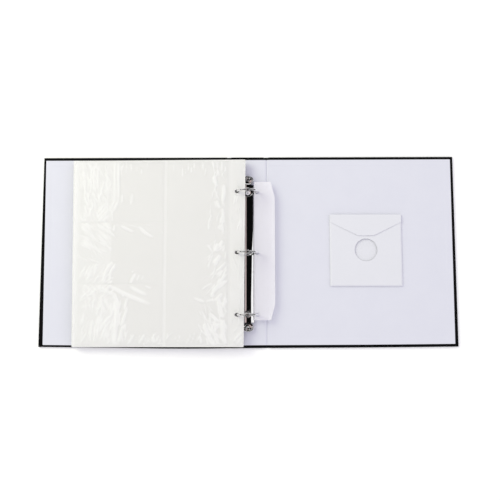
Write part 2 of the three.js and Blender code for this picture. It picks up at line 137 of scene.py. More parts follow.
# A surface on a grid and its copy one thickness below, joined round every free edge
def sheet(name, top, thickness, keep=None, values=None, down=(0, 0, -1), sharp=35):
    quads = gridQuads(*top.shape[:2])
    quads = quads[keep] if keep is not None else quads.reshape(-1, 4)
    flat = {key: np.asarray(value, float).ravel() for key, value in (values or {}).items()}
    below = np.broadcast_to(np.asarray(down, float), top.shape).reshape(-1, 3)
    upper, quads, flat = usedOnly(np.hstack([top.reshape(-1, 3), below]), quads, flat)
    upper, below = upper[:, :3], upper[:, 3:]
    count = len(upper)
    lower = upper + below * thickness
    starts, ends = quads.ravel(), np.roll(quads, -1, axis=1).ravel()
    free = ~np.isin(starts * count + ends, ends * count + starts)
    a, b = starts[free], ends[free]
    rim = np.stack([b, a, a + count, b + count], 1)
    faces = np.vstack([quads, quads[:, ::-1] + count, rim])
    both = {key: np.concatenate([value, value]) for key, value in flat.items()}
    return meshObject(name, np.vstack([upper, lower]), faces.tolist(), both, sharp)


# Rings of points joined into a skin, its ends closed by flat caps unless it closes on itself
def loft(name, rings, closed=False, values=None, sharp=35):
    count, around = rings.shape[:2]
    faces = gridQuads(count, around, closeU=closed, closeV=True).reshape(-1, 4).tolist()
    if not closed:
        faces.append(list(range(around)))
        faces.append(list(range((count - 1) * around, count * around))[::-1])
    return outward(meshObject(name, rings.reshape(-1, 3), faces, values, sharp))


# Faces turned outwards: a closed skin whose volume comes out negative is inside out
def outward(piece):
    mesh = piece.data
    points, corners = np.empty(3 * len(mesh.vertices)), np.empty(3 * len(mesh.loop_triangles), int)
    mesh.vertices.foreach_get("co", points)
    mesh.loop_triangles.foreach_get("vertices", corners)
    a, b, c = points.reshape(-1, 3)[corners.reshape(-1, 3).T]
    if np.sum(a * np.cross(b, c)) < 0:
        mesh.flip_normals()
    return piece


# A profile of (radius, height) points turned round an axis; it closes on itself
def lathe(name, profile, count, place=(0, 0, 0), scale=(1, 1, 1), spin=None, sharp=35):
    profile = np.asarray(profile, float)
    angle = np.linspace(0, 2 * math.pi, count, endpoint=False)[:, None]
    rings = np.empty((count, len(profile), 3))
    rings[..., 0] = np.cos(angle) * profile[:, 0] * scale[0]
    rings[..., 1] = np.sin(angle) * profile[:, 0] * scale[1]
    rings[..., 2] = profile[:, 1] * scale[2]
    if spin is not None:
        rings = rings @ np.array(spin.to_3x3()).T
    return loft(name, rings + np.asarray(place), closed=True, sharp=sharp)


def join(name, pieces):
    target = pieces[0]
    with bpy.context.temp_override(active_object=target, selected_editable_objects=pieces):
        bpy.ops.object.join()
    target.name = name
    target.data.name = name
    return target


# Puts a finished piece on its body, with its finish, and hides the CAD nodes that it stands for. A hinge lies
# between two bodies, so it is put on no body
def dress(piece, body, material, nodes):
    piece.data.materials.clear()
    piece.data.materials.append(material)
    if body:
        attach(piece, body)
    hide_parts(*nodes)
    return piece


# Shader nodes

def put(tree, kind, inputs=None, **settings):
    made = tree.nodes.new(kind)
    for key, value in settings.items():
        setattr(made, key, value)
    for key, value in (inputs or {}).items():
        fill(tree, made.inputs[key], value)
    return made


def fill(tree, socket, value):
    if isinstance(value, bpy.types.NodeSocket):
        tree.links.new(value, socket)
    else:
        socket.default_value = value


# Links to the sockets of a shader or of a group's output, by their names
def wire(tree, sockets, **values):
    for key, value in values.items():
        tree.links.new(value, sockets[key.replace("_", " ")])


def math2(tree, operation, a, b=0.0, clamp=False):
    return put(tree, "ShaderNodeMath", {0: a, 1: b}, operation=operation, use_clamp=clamp).outputs[0]


def spread(tree, value, low, high, to=(0.0, 1.0)):
    inputs = {"Value": value, "From Min": low, "From Max": high, "To Min": to[0], "To Max": to[1]}
    return put(tree, "ShaderNodeMapRange", inputs, interpolation_type="SMOOTHSTEP").outputs["Result"]


def blendColor(tree, factor, a, b):
    return put(tree, "ShaderNodeMix", {0: factor, 6: a, 7: b}, data_type="RGBA").outputs[2]


def noise(tree, place, scale, detail, output="Fac", **more):
    inputs = {"Vector": place, "Scale": scale, "Detail": detail, **more}
    return put(tree, "ShaderNodeTexNoise", inputs).outputs[output]


# Place stretched along one axis and turned, for marks that run one way
def drawnOut(tree, place, scale, turned):
    inputs = {"Vector": place, "Scale": scale, "Rotation": (0, 0, turned)}
    return put(tree, "ShaderNodeMapping", inputs).outputs[0]


def newGroup(name, outputs, **amounts):
    group = bpy.data.node_groups.new(name, "ShaderNodeTree")
    group.interface.new_socket("Place", in_out="INPUT", socket_type="NodeSocketVector")
    for key, value in amounts.items():
        group.interface.new_socket(key, in_out="INPUT", socket_type="NodeSocketFloat").default_value = value
    for key in outputs:
        group.interface.new_socket(key, in_out="OUTPUT", socket_type="NodeSocketFloat")
    entry = group.nodes.new("NodeGroupInput").outputs
    return group, entry, entry["Place"], group.nodes.new("NodeGroupOutput").inputs


# Pebbled grain of embossed book cloth: cells with creases between them, and a fine tooth on top
def makeGrain():
    group, entry, place, leave = newGroup("pebbleGrain", ["Height", "Shade"], Pebble=0.9 * mm, Tooth=0.3)
    bend = noise(group, place, 900.0, 2.0, "Color")
    shift = put(group, "ShaderNodeVectorMath", {0: bend, 1: (0.5 * mm,) * 3}, operation="MULTIPLY").outputs[0]
    moved = put(group, "ShaderNodeVectorMath", {0: place, 1: shift}, operation="ADD").outputs[0]
    scale = math2(group, "DIVIDE", 1.0, entry["Pebble"])
    cells = put(group, "ShaderNodeTexVoronoi", {"Vector": moved, "Scale": scale}, feature="DISTANCE_TO_EDGE")
    pebble = spread(group, cells.outputs["Distance"], 0.0, 0.32)
    tooth = math2(group, "MULTIPLY", noise(group, place, 5200.0, 3.0), entry["Tooth"])
    patch = spread(group, noise(group, place, 35.0, 4.0), 0.3, 0.7)
    height, shade = math2(group, "ADD", pebble, tooth), math2(group, "MULTIPLY", pebble, patch)
    wire(group, leave, Height=height, Shade=shade)
    return group


# Pressed paper: short fibres over a soft cloudiness
def makeFibre():
    group, entry, place, leave = newGroup("paperFibre", ["Height", "Shade"], Fibre=1.0, Cloud=1.0)
    one = noise(group, drawnOut(group, place, (1.0, 0.22, 1.0), 0.5), 3800.0, 3.0)
    two = noise(group, drawnOut(group, place, (0.22, 1.0, 1.0), 0.35), 3300.0, 3.0)
    fibres = math2(group, "MULTIPLY", math2(group, "ADD", one, two), entry["Fibre"])
    cloud = spread(group, noise(group, place, 26.0, 5.0, Roughness=0.6), 0.3, 0.72)
    wire(group, leave, Height=fibres, Shade=math2(group, "MULTIPLY", cloud, entry["Cloud"]))
    return group


# Handling marks: hairline scratches that run one way, and dull smudges with a few specks
def makeHandling():
    group, entry, place, leave = newGroup("handling", ["Height", "Dull"], Scratch=1.0, Smudge=1.0)
    lines = noise(group, drawnOut(group, place, (1.0, 0.03, 1.0), 0.04), 4200.0, 2.0)
    scratch = math2(group, "MULTIPLY", spread(group, lines, 0.6, 0.75), entry["Scratch"])
    smear = noise(group, place, 95.0, 5.0, Distortion=0.6)
    marks = math2(group, "MULTIPLY", spread(group, smear, 0.48, 0.75), entry["Smudge"])
    cells = put(group, "ShaderNodeTexVoronoi", {"Vector": place, "Scale": 260.0}).outputs["Distance"]
    specks = math2(group, "MULTIPLY", math2(group, "LESS_THAN", cells, 0.06), 0.4)
    dull = math2(group, "ADD", marks, specks, clamp=True)
    dull = math2(group, "ADD", dull, math2(group, "MULTIPLY", scratch, 0.3), clamp=True)
    wire(group, leave, Height=scratch, Dull=dull)
    return group


grainGroup, fibreGroup, handlingGroup = makeGrain(), makeFibre(), makeHandling()


# A material with its shader and the place on the object
def begin(name, **shader):
    material = bpy.data.materials.new(name)
    material.use_nodes = True
    tree = material.node_tree
    principled = tree.nodes["Principled BSDF"]
    for key, value in shader.items():
        principled.inputs[key.replace("_", " ")].default_value = value
    return material, tree, principled, put(tree, "ShaderNodeTexCoord").outputs["Object"]


def use(tree, group, place, **amounts):
    return put(tree, "ShaderNodeGroup", {"Place": place, **amounts}, node_tree=group).outputs


def attribute(tree, name):
    return put(tree, "ShaderNodeAttribute", attribute_name=name).outputs["Fac"]


# Color and roughness from a mask, and a bump of the given strength and depth
def finish(tree, shader, mask, colors, rough, height, relief):
    bump = put(tree, "ShaderNodeBump", {"Strength": relief[0], "Distance": relief[1], "Height": height})
    color, dull = blendColor(tree, mask, *colors), spread(tree, mask, 0.0, 1.0, rough)
    wire(tree, shader.inputs, Base_Color=color, Roughness=dull, Normal=bump.outputs["Normal"])


def makeLeatherette():
    dark, light, worn = (0.0030, 0.0030, 0.0034, 1), (0.0065, 0.0065, 0.0075, 1), (0.018, 0.018, 0.019, 1)
    material, tree, shader, place = begin("blackLeatherette", Specular_IOR_Level=0.16)
    grain = use(tree, grainGroup, place, Pebble=0.9 * mm, Tooth=0.35)
    finish(tree, shader, grain["Shade"], (dark, light), (0.72, 0.58), grain["Height"], (0.55, 0.12 * mm))
    edge = math2(tree, "MULTIPLY", attribute(tree, "edge"), spread(tree, grain["Shade"], 0.2, 0.9))
    plain = shader.inputs["Base Color"].links[0].from_socket
    wire(tree, shader.inputs, Base_Color=blendColor(tree, math2(tree, "MULTIPLY", edge, 0.6), plain, worn))
    return material


def makePaper(name, colors, fibre=1.0, rough=(0.82, 0.9), relief=(0.25, 0.03 * mm), shine=0.25):
    material, tree, shader, place = begin(name, Specular_IOR_Level=shine)
    paper = use(tree, fibreGroup, place, Fibre=fibre, Cloud=1.0)
    finish(tree, shader, paper["Shade"], colors, rough, paper["Height"], relief)
    return material


def makeMetal(name, colors, rough, scratch, smudge, metallic=1.0):
    material, tree, shader, place = begin(name, Metallic=metallic)
    marks = use(tree, handlingGroup, place, Scratch=scratch, Smudge=smudge)
    finish(tree, shader, marks["Dull"], colors, rough, marks["Height"], (0.12, 0.01 * mm))
    return material


def makePlastic(name, colors, rough, alpha=1.0):
    material, tree, shader, place = begin(name, Specular_IOR_Level=0.4, Alpha=alpha)
    marks = use(tree, handlingGroup, place, Scratch=0.4, Smudge=0.6)
    finish(tree, shader, marks["Dull"], colors, rough, noise(tree, place, 2600.0, 3.0), (0.18, 0.02 * mm))
    return material


# Clear film: nearly nothing of it shows where it lies flat; welds and loose film are milky, and creased film
# is made milky too, partly as a painted highlight on the crests
def makeFilm():
    clear, milky = (0.934, 0.932, 0.915, 1), (1.0, 0.998, 0.988, 1)
    optics = dict(Alpha=0.34, IOR=1.32, Coat_IOR=1.6, Coat_Roughness=0.04)
    material, tree, shader, place = begin("clearFilm", **optics)
    marks = use(tree, handlingGroup, place, Scratch=0.25, Smudge=0.5)
    finish(tree, shader, marks["Dull"], (clear, milky), (0.09, 0.22), marks["Height"], (0.1, 0.01 * mm))
    smudges = math2(tree, "MULTIPLY", marks["Dull"], 0.04)
    haze = math2(tree, "ADD", attribute(tree, "haze"), smudges, clamp=True)
    color = blendColor(tree, spread(tree, haze, 0.0, 0.9), clear, milky)
    wire(tree, shader.inputs, Base_Color=color, Coat_Weight=spread(tree, haze, 0.0, 1.0, (1.0, 0.12)))
    return material


leatherette = makeLeatherette()
greyBoard = makePaper(
    "greyBoard", ((0.30, 0.27, 0.22, 1), (0.19, 0.17, 0.14, 1)),
    fibre=1.6, rough=(0.86, 0.96), relief=(0.6, 0.08 * mm), shine=0.2)
liningPaper = makePaper("liningPaper", ((0.745, 0.749, 0.826, 1), (0.733, 0.737, 0.816, 1)))
pocketPaper = makePaper("pocketPaper", ((0.775, 0.778, 0.828, 1), (0.763, 0.768, 0.816, 1)), fibre=0.8)
chrome = makeMetal("polishedChrome", ((0.93, 0.925, 0.93, 1), (0.78, 0.76, 0.76, 1)), (0.03, 0.14), 0.4, 0.5)
# Top rivet finish: nearly white and almost no metal, a painted reflection standing in for the white that its
# chrome would mirror
rivetPaintedReflection = makeMetal(
    "rivetPaintedReflection", ((1.0, 0.99, 1.0, 1), (0.93, 0.92, 0.93, 1)), (0.4, 0.5), 0.5, 0.4, metallic=0.04)
steel = makeMetal("platedSteel", ((0.52, 0.52, 0.54, 1), (0.40, 0.40, 0.41, 1)), (0.26, 0.45), 1.5, 1.0)
clearFilm = makeFilm()
dividerSheet = makePlastic("whiteDivider", ((0.957, 0.953, 0.957, 1), (0.950, 0.946, 0.950, 1)), (0.5, 0.65))
lifterPlastic = makePlastic(
    "lifterPlastic", ((0.962, 0.948, 1.0, 1), (0.942, 0.928, 0.98, 1)), (0.38, 0.55), alpha=0.56)
print("materials ready")

# Case

case = dict(
    round=0.6 * mm, core=0.3 * mm, backReach=1.5 * mm, turnIn=15 * mm, arcSteps=6, boardSteps=25,
    tailBow=(0.5 * mm, 2.0 * mm), swell=(1.4 * mm, -0.12, 0.11), headFall=0.6 * mm)


# The case isn't quite square: its tail edge bows outwards in a parabola, with a bell-shaped swell under the
# leaves, and its head edge falls towards the front cover
def bowed(x, y):
    least, most = case["tailBow"]
    swell, middle, width = case["swell"]
    share = np.clip((cadHigh.y - y) / (cadHigh.y - cadLow.y), 0, 1)
    bow = least + most * (1 - (x / cadHigh.x) ** 2) + swell * np.exp(-(((x - middle) / width) ** 2))
    return y - bow * share - case["headFall"] * (1 - x / cadHigh.x) * (1 - share)


# Rounded outline of a board in Y and Z: quarter arcs at its four corners, drawn in by inset, with their wear
def boardOutline(low, high, radius, inset):
    quarter = np.linspace(0, math.pi / 2, case["arcSteps"] + 1)
    angle = np.concatenate([quarter + i * math.pi / 2 for i in range(4)])
    signY = np.repeat([1, -1, -1, 1], len(quarter))
    signZ = np.repeat([1, 1, -1, -1], len(quarter))
    y = (low.y + high.y) / 2 + signY * ((high.y - low.y) / 2 - radius) + (radius - inset) * np.cos(angle)
    z = (low.z + high.z) / 2 + signZ * ((high.z - low.z) / 2 - radius) + (radius - inset) * np.sin(angle)
    return y, z, np.sin(2 * (angle % (math.pi / 2))) ** 2


# Board: the outline carried along X; a covered board, which has a side, rounds over at its fore edge
def makeBoard(name, node, radius, count, side=0):
    low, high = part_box(node)
    x, inset = np.linspace(low.x, high.x, count), np.zeros(count)
    if side:
        start, fore = (low.x, high.x + case["backReach"]) if side > 0 else (high.x, low.x)
        arc = np.linspace(0, math.pi / 2, case["arcSteps"] + 1)[1:]
        along = np.linspace(start, fore - side * radius, count)
        x = np.concatenate([along, fore - side * radius * (1 - np.sin(arc))])
        inset = np.concatenate([inset, radius * (1 - np.cos(arc))])
    y, z, worn = boardOutline(low, high, radius, inset[:, None])
    x = np.broadcast_to(x[:, None], y.shape)
    edge = np.maximum(worn, np.minimum(1, inset[:, None] / radius * 2))
    return loft(name, np.stack([x, bowed(x, y), z], -1), values={"edge": edge})


lining = dict(
    thickness=0.3 * mm, sink=0.12 * mm, uneven=0.3, ripple=0.04 * mm, step=8 * mm,
    lean=dict(front=1.9 * mm, back=-0.6 * mm), leanReach=40 * mm)
# how far each lining stops short of its board at the fore edge, the head and the tail
lining["inset"] = dict(
    spine=(0, 1.8 * mm, 1.1 * mm), front=(0.9 * mm, 2.1 * mm, -0.3 * mm), back=(1.2 * mm, 1.7 * mm, 1.0 * mm))
closeBy = np.array([-1.5, -0.7, 0, 0.7, 1.5]) * mm


# Stations along an edge, close together at the marks given
def stations(low, high, step, marks):
    base = np.linspace(low, high, int(round((high - low) / step)) + 1)
    near = np.ravel([mark + closeBy for mark in marks])
    near = near[(near > low) & (near < high)]
    return np.unique(np.round(np.concatenate([base, near]), 6))


# Slow waves of pasted paper: three sines that run different ways
def ripple(x, y):
    return (np.sin(31 * x + 9 * y) + np.sin(17 * y - 23 * x + 1.3) + np.sin(43 * y + 2.1)) / 3


# Lining of a cover: it sinks a little inside the cloth's turned-in edge, and its fore edge leans
def coverLining(cover, side):
    low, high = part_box(f"{cover}_lining")
    clothLow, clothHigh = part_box(f"{cover}_cloth")
    fromFore, fromHead, fromTail = lining["inset"][cover]
    low.y, high.y = low.y + fromTail, high.y - fromHead
    if side < 0:
        low.x += fromFore
    else:
        high.x -= fromFore
    fore, edge = (clothLow.x, low.x) if side < 0 else (clothHigh.x, high.x)
    turned = case["turnIn"]
    xs = stations(low.x, high.x, lining["step"], [fore - side * turned])
    ys = stations(low.y, high.y, lining["step"], [clothLow.y + turned, clothHigh.y - turned])
    x, y = grid(xs, ys)
    inside = ease(side * (fore - x), turned - mm, turned + mm)
    inside *= ease(y - clothLow.y, turned - mm, turned + mm) * ease(clothHigh.y - y, turned - mm, turned + mm)
    sunk = lining["sink"] * (1 - lining["uneven"] * ripple(x, y)) + lining["ripple"] * (1 + ripple(x, y))
    z = high.z - sunk * inside
    nearEdge = ease(side * (x - edge) + lining["leanReach"], 0, lining["leanReach"])
    x = x - lining["lean"][cover] * nearEdge * (2 * (y - low.y) / (high.y - low.y) - 1)
    return sheet(f"{cover}Lining", np.stack([x, bowed(x, y), z], -1), lining["thickness"])


def spineLining():
    low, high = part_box("spine_lining")
    low.y, high.y = low.y + lining["inset"]["spine"][2], high.y - lining["inset"]["spine"][1]
    x, y = grid(np.linspace(low.x, high.x, 9), np.linspace(low.y, high.y, 40))
    z = high.z - lining["ripple"] * (1 + ripple(x, y))
    return sheet("spineLining", np.stack([x, bowed(x, y), z], -1), lining["thickness"])


hinge = dict(
    valley=0.7 * mm, crease=1.3 * mm, creaseAt=0.6 * mm, creaseWidth=0.6 * mm, outside=0.3 * mm,
    creaseLines=np.array([-0.4, -0.2, 0, 0.2, 0.4]) * mm, step=12 * mm, across=13)


# Lining in a hinge gap: a valley by the cosine's square, with one sharp bell-shaped crease
def hingeLining(cover, side):
    low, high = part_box(f"{cover}_hinge_lining")
    ends = np.add(lining["inset"]["spine"], lining["inset"][cover]) / 2
    low.y, high.y = low.y + ends[2], high.y - ends[1]
    middle, half = (low.x + high.x) / 2, (high.x - low.x) / 2
    creaseX = middle + side * hinge["creaseAt"]
    xs = np.unique(np.concatenate([np.linspace(low.x, high.x, 25), creaseX + hinge["creaseLines"]]))
    x, y = grid(xs, np.linspace(low.y, high.y, 60))
    valley = np.cos((x - middle) / half * math.pi / 2) ** 2
    crease = np.exp(-(((x - creaseX) / hinge["creaseWidth"]) ** 2))
    z = high.z - hinge["valley"] * valley - hinge["crease"] * crease - lining["ripple"] * (1 + ripple(x, y))
    return sheet(f"{cover}HingeLining", np.stack([x, bowed(x, y), z], -1), lining["thickness"])


# Cloth of a hinge: thin, doubled where it turns in at head and tail, with a shallow groove outside
def hingeCloth(cover):
    low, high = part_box(f"{cover}_hinge_cloth")
    thin, turned, count = (high.z - low.z) / 2, case["turnIn"], hinge["across"]
    ys = stations(low.y, high.y, hinge["step"], [low.y + turned, high.y - turned])
    end = np.minimum(ys - low.y, high.y - ys)
    roundOff = np.sqrt(np.clip(1 - np.clip(1 - end / thin, 0, 1) ** 2, 0, 1))
    topZ = low.z + thin + thin * ease(-end, -turned - mm, -turned + mm) * roundOff
    lowZ = low.z + thin * (1 - roundOff)
    x = np.linspace(low.x, high.x, count)[:, None]
    groove = hinge["outside"] * np.sin(np.linspace(0, math.pi, count))[:, None] ** 2
    ringY = np.concatenate([ys, ys[::-1]])
    rings = np.empty((count, len(ringY), 3))
    rings[..., 0] = x
    rings[..., 1] = bowed(x, ringY)
    rings[..., 2] = np.concatenate([lowZ, topZ[::-1]]) + groove
    return loft(f"{cover}HingeCloth", rings, values={"edge": np.zeros(rings.shape[:2])})


for cover, side in (("front", -1), ("back", 1)):
    body = f"{cover}_cover"
    cloth = makeBoard(f"{cover}Cloth", f"{cover}_cloth", case["round"], case["boardSteps"], side)
    dress(cloth, body, leatherette, [f"{cover}_cloth"])
    dress(coverLining(cover, side), body, liningPaper, [f"{cover}_lining"])
    cloth = dress(hingeCloth(cover), None, leatherette, [f"{cover}_hinge_cloth"])
    fold = dress(hingeLining(cover, side), None, liningPaper, [f"{cover}_hinge_lining"])
    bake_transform(cloth)
    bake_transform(fold)
cloth = makeBoard("spineCloth", "spine_cloth", case["round"], 5)
dress(cloth, "spine", leatherette, ["spine_cloth"])
dress(spineLining(), "spine", liningPaper, ["spine_lining"])
for name, body in (("front", "front_cover"), ("back", "back_cover"), ("spine", "spine")):
    core = makeBoard(f"{name}Board", f"{name}_board", case["core"], case["boardSteps"])
    dress(core, body, greyBoard, [f"{name}_board"])
print("case ready")

# Ring mechanism

housing = dict(
    arch=2.6, wall=0.9 * mm, foot=3.4 * mm, step=2.4 * mm, slotFloor=1.6 * mm, slotReach=4.2 * mm,
    slotHalf=2.75 * mm, dimple=(3.6 * mm, 6.8 * mm), dimpleReach=7.2 * mm, steps=(61, 70), dimpleSteps=37)
# the tips pass each other over lapReach, and past it the wire comes free of that limit over lapFade
ring = dict(
    wire=1.8 * mm, lapReach=3 * mm, lapGap=0.3 * mm, lapFade=1.2 * mm, free=4 * mm, tipOffset=0.9 * mm,
    bend=26, straight=0.35, tipRound=0.8 * mm, tipLeast=0.02)
rivet = dict(
    head=3.6 * mm, bore=1.0 * mm, height=1.0 * mm, shank=1.6 * mm, seat=0.55 * mm, inset=1.6 * mm,
    foot=0.6 * mm, footInset=0.3 * mm, bulge=0.8)

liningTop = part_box("spine_lining")[1].z
ringNames = ("top", "middle", "bottom")
ringY = {}
for spot in ringNames:
    leftBox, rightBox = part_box(f"left_half_ring_{spot}"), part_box(f"right_half_ring_{spot}")
    ringY[spot] = (min(leftBox[0].y, rightBox[0].y) + max(leftBox[1].y, rightBox[1].y)) / 2
ringOuter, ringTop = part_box("right_half_ring_top")[1].x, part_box("right_half_ring_top")[1].z
ringRadius = ringOuter - ring["wire"]
ringCentreZ = ringTop - ringOuter
rivetY = {"top": ringY["top"] - rivet["inset"], "bottom": ringY["bottom"] + rivet["inset"]}
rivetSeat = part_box("ring_housing")[1].z - rivet["seat"]


# Height of the housing's arch and the direction that it faces: a superellipse of the given power
def archAt(share, rise, half):
    power = housing["arch"]
    rest = np.clip(1 - np.abs(share) ** power, 1e-6, 1)
    slope = rise / half * np.abs(share) ** (power - 1) * rest ** (1 / power - 1)
    return rise * rest ** (1 / power), np.sign(share) * slope / np.hypot(slope, 1), 1 / np.hypot(slope, 1)


# Arched housing: a foot, the arch and a foot carried along Y, dimpled for the rivets, slotted for the wires
def makeHousing():
    low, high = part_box("ring_housing")
    half, springZ = (high.x - low.x) / 2, low.z + housing["foot"]
    slotX = half - housing["slotReach"]
    slotAngle = math.acos(slotX / half)
    around, along = housing["steps"]
    angle = np.concatenate([np.linspace(math.pi, 0, around), [slotAngle, math.pi - slotAngle]])
    angle = np.unique(angle)[::-1]
    footZ = np.array([0, housing["slotFloor"], housing["step"]]) + low.z
    archZ, faceX, faceZ = archAt(np.cos(angle), high.z - springZ, half)
    sectionX = np.concatenate([[-half] * 3, half * np.cos(angle), [half] * 3])
    sectionZ = np.concatenate([footZ, springZ + archZ, footZ[::-1]])
    normalX = np.concatenate([[-1] * 3, faceX, [1] * 3])
    normalZ = np.concatenate([[0] * 3, faceZ, [0] * 3])
    edges = [y + s * housing["slotHalf"] for y in ringY.values() for s in (-1, 1)]
    reach = housing["dimpleReach"]
    lines = np.linspace(-reach, reach, housing["dimpleSteps"])
    dimples = np.concatenate([y + lines for y in rivetY.values()])
    ys = np.unique(np.round(np.concatenate([np.linspace(low.y, high.y, along), edges, dimples]), 6))
    x, y = grid(sectionX, ys)
    z = np.broadcast_to(sectionZ[:, None], x.shape)
    for place in rivetY.values():
        away = np.hypot(x, y - place)
        z = np.minimum(z, rivetSeat + (high.z - rivetSeat) * ease(away, *housing["dimple"]))
    middleX = (sectionX[1:] + sectionX[:-1])[:, None] / 2
    middleZ = (sectionZ[1:] + sectionZ[:-1])[:, None] / 2
    middleY = (ys[1:] + ys[:-1]) / 2
    nearRing = np.min([np.abs(middleY - place) for place in ringY.values()], axis=0) < housing["slotHalf"]
    slot = (np.abs(middleX) > slotX) & (middleZ > low.z + housing["slotFloor"]) & nearRing
    down = np.stack([-normalX, np.zeros_like(normalX), -normalZ], -1)[:, None, :]
    return sheet("ringHousing", np.stack([x, y, z], -1), housing["wall"], keep=~slot, down=down, sharp=50)


# Half ring: a circle's arc whose tip bends aside, flat where the two tips pass each other
def makeHalfRing(name, side, place):
    steps, around = 96, 28
    tip = math.pi / 2 - math.asin(ring["lapReach"] / ringRadius)
    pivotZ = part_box("left_half_ring_top")[0].z
    foot = math.pi + math.asin(min(1, (ringCentreZ - pivotZ - ring["wire"]) / ringRadius))
    angle = tip + (foot - tip) * np.linspace(0, 1, steps)
    bent = np.degrees(angle - tip) / ring["bend"]
    aside = -side * ring["tipOffset"] * (1 - ease(bent, ring["straight"], 1))
    out = np.stack([-side * np.cos(angle), np.zeros(steps), np.sin(angle)], -1)
    middle = ringRadius * out + np.stack([np.zeros(steps), place + aside, np.full(steps, ringCentreZ)], -1)
    along = np.gradient(middle, axis=0)
    along /= np.linalg.norm(along, axis=1)[:, None]
    across = np.cross(along, out)
    across /= np.linalg.norm(across, axis=1)[:, None]
    arc = ringRadius * (angle - tip)
    tipShare = np.clip(1 - arc / ring["tipRound"], 0, 1)
    width = ring["wire"] * np.sqrt(np.clip(1 - tipShare**2, ring["tipLeast"], 1))
    spin = np.linspace(0, 2 * math.pi, around, endpoint=False)[None, :, None]
    section = np.cos(spin) * out[:, None] + np.sin(spin) * across[:, None]
    rings = middle[:, None] + width[:, None, None] * section
    past = side * rings[..., 0] - ring["lapReach"] - ring["lapGap"]
    limit = ring["lapGap"] / 2 - ring["free"] * ease(past, 0, ring["lapFade"])
    rings[..., 1] = place - side * np.maximum(-side * (rings[..., 1] - place), limit)
    return loft(name, rings, sharp=40)


# Hollow rivet: a rounded head on a shank that spreads to a flat foot, with the bore through it
def makeRivet(end, place):
    middle, half = (rivet["head"] + rivet["bore"]) / 2, (rivet["head"] - rivet["bore"]) / 2
    arc = np.linspace(0, math.pi, 15)
    crown = rivetSeat + rivet["height"] * np.sin(arc) ** rivet["bulge"]
    head = np.stack([middle + half * np.cos(arc), crown], 1)
    footZ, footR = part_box(f"{end}_rivet")[0].z, rivet["head"] - rivet["footInset"]
    foot = [(rivet["bore"], footZ), (footR, footZ), (footR, footZ + rivet["foot"])]
    shank = [(rivet["shank"], footZ + rivet["foot"]), (rivet["shank"], rivetSeat)]
    return lathe(f"{end}Rivet", np.vstack([head, foot, shank]), 40, place=(0, place, 0), sharp=50)


# Flattened tube through ring after ring: a superellipse of half width w and half height h at each (y, z)
def strap(name, path, half, power=4.0, around=28):
    angle = np.linspace(0, 2 * math.pi, around, endpoint=False)
    c, s = np.cos(angle), np.sin(angle)
    crossX = np.sign(c) * np.abs(c) ** (2 / power)
    crossZ = np.sign(s) * np.abs(s) ** (2 / power)
    slope = np.gradient(path, axis=0)
    slope /= np.linalg.norm(slope, axis=1)[:, None]
    rings = np.empty((len(path), around, 3))
    rings[..., 0] = half[:, :1] * crossX
    rings[..., 1] = path[:, :1] - slope[:, 1:] * half[:, 1:] * crossZ
    rings[..., 2] = path[:, 1:] + slope[:, :1] * half[:, 1:] * crossZ
    return loft(name, rings, sharp=40)


lever = dict(
    pad=(10.4 * mm, 8.2 * mm), padAside=0.4 * mm, tilt=10, reach=12.7 * mm, rise=2.5 * mm,
    knob=4.8 * mm, knobRise=2.3 * mm, knobTilt=19, knobAside=0.2 * mm, knobReach=1.9 * mm, knobFrom=-0.3)
# the dish's profile from its underside over the rim to its floor: share of the pad's radius, height in mm
lever["dish"] = [
    (0.0001, -0.8), (0.8, -0.8), (0.93, -0.72), (0.99, -0.3), (1.0, 0.2), (0.99, 0.9), (0.96, 1.6),
    (0.92, 1.95), (0.88, 2.0), (0.84, 1.8), (0.64, 0.5), (0.60, 0.35), (0.30, 0.2), (0.0001, 0.2),
]
# the barrel's profile in mm: radius and place along the pin
lever["barrel"] = np.array([(1.15, -7.0), (2.2, -7.0), (2.4, -6.7), (2.4, 6.7), (2.2, 7.0), (1.15, 7.0)]) * mm
lever["neck"] = dict(
    start=1.9 * mm, length=7.0 * mm, rise=1.9 * mm, base=0.25 * mm, climb=(0.1, 1.0),
    half=7.0 * mm, waist=1.1 * mm, thick=1.7 * mm, thinned=0.95 * mm, thinBy=0.7)
lever["tongue"] = dict(reach=(0.6 * mm, 6.5 * mm), drop=2.1 * mm, half=(4.0 * mm, 0.5 * mm))


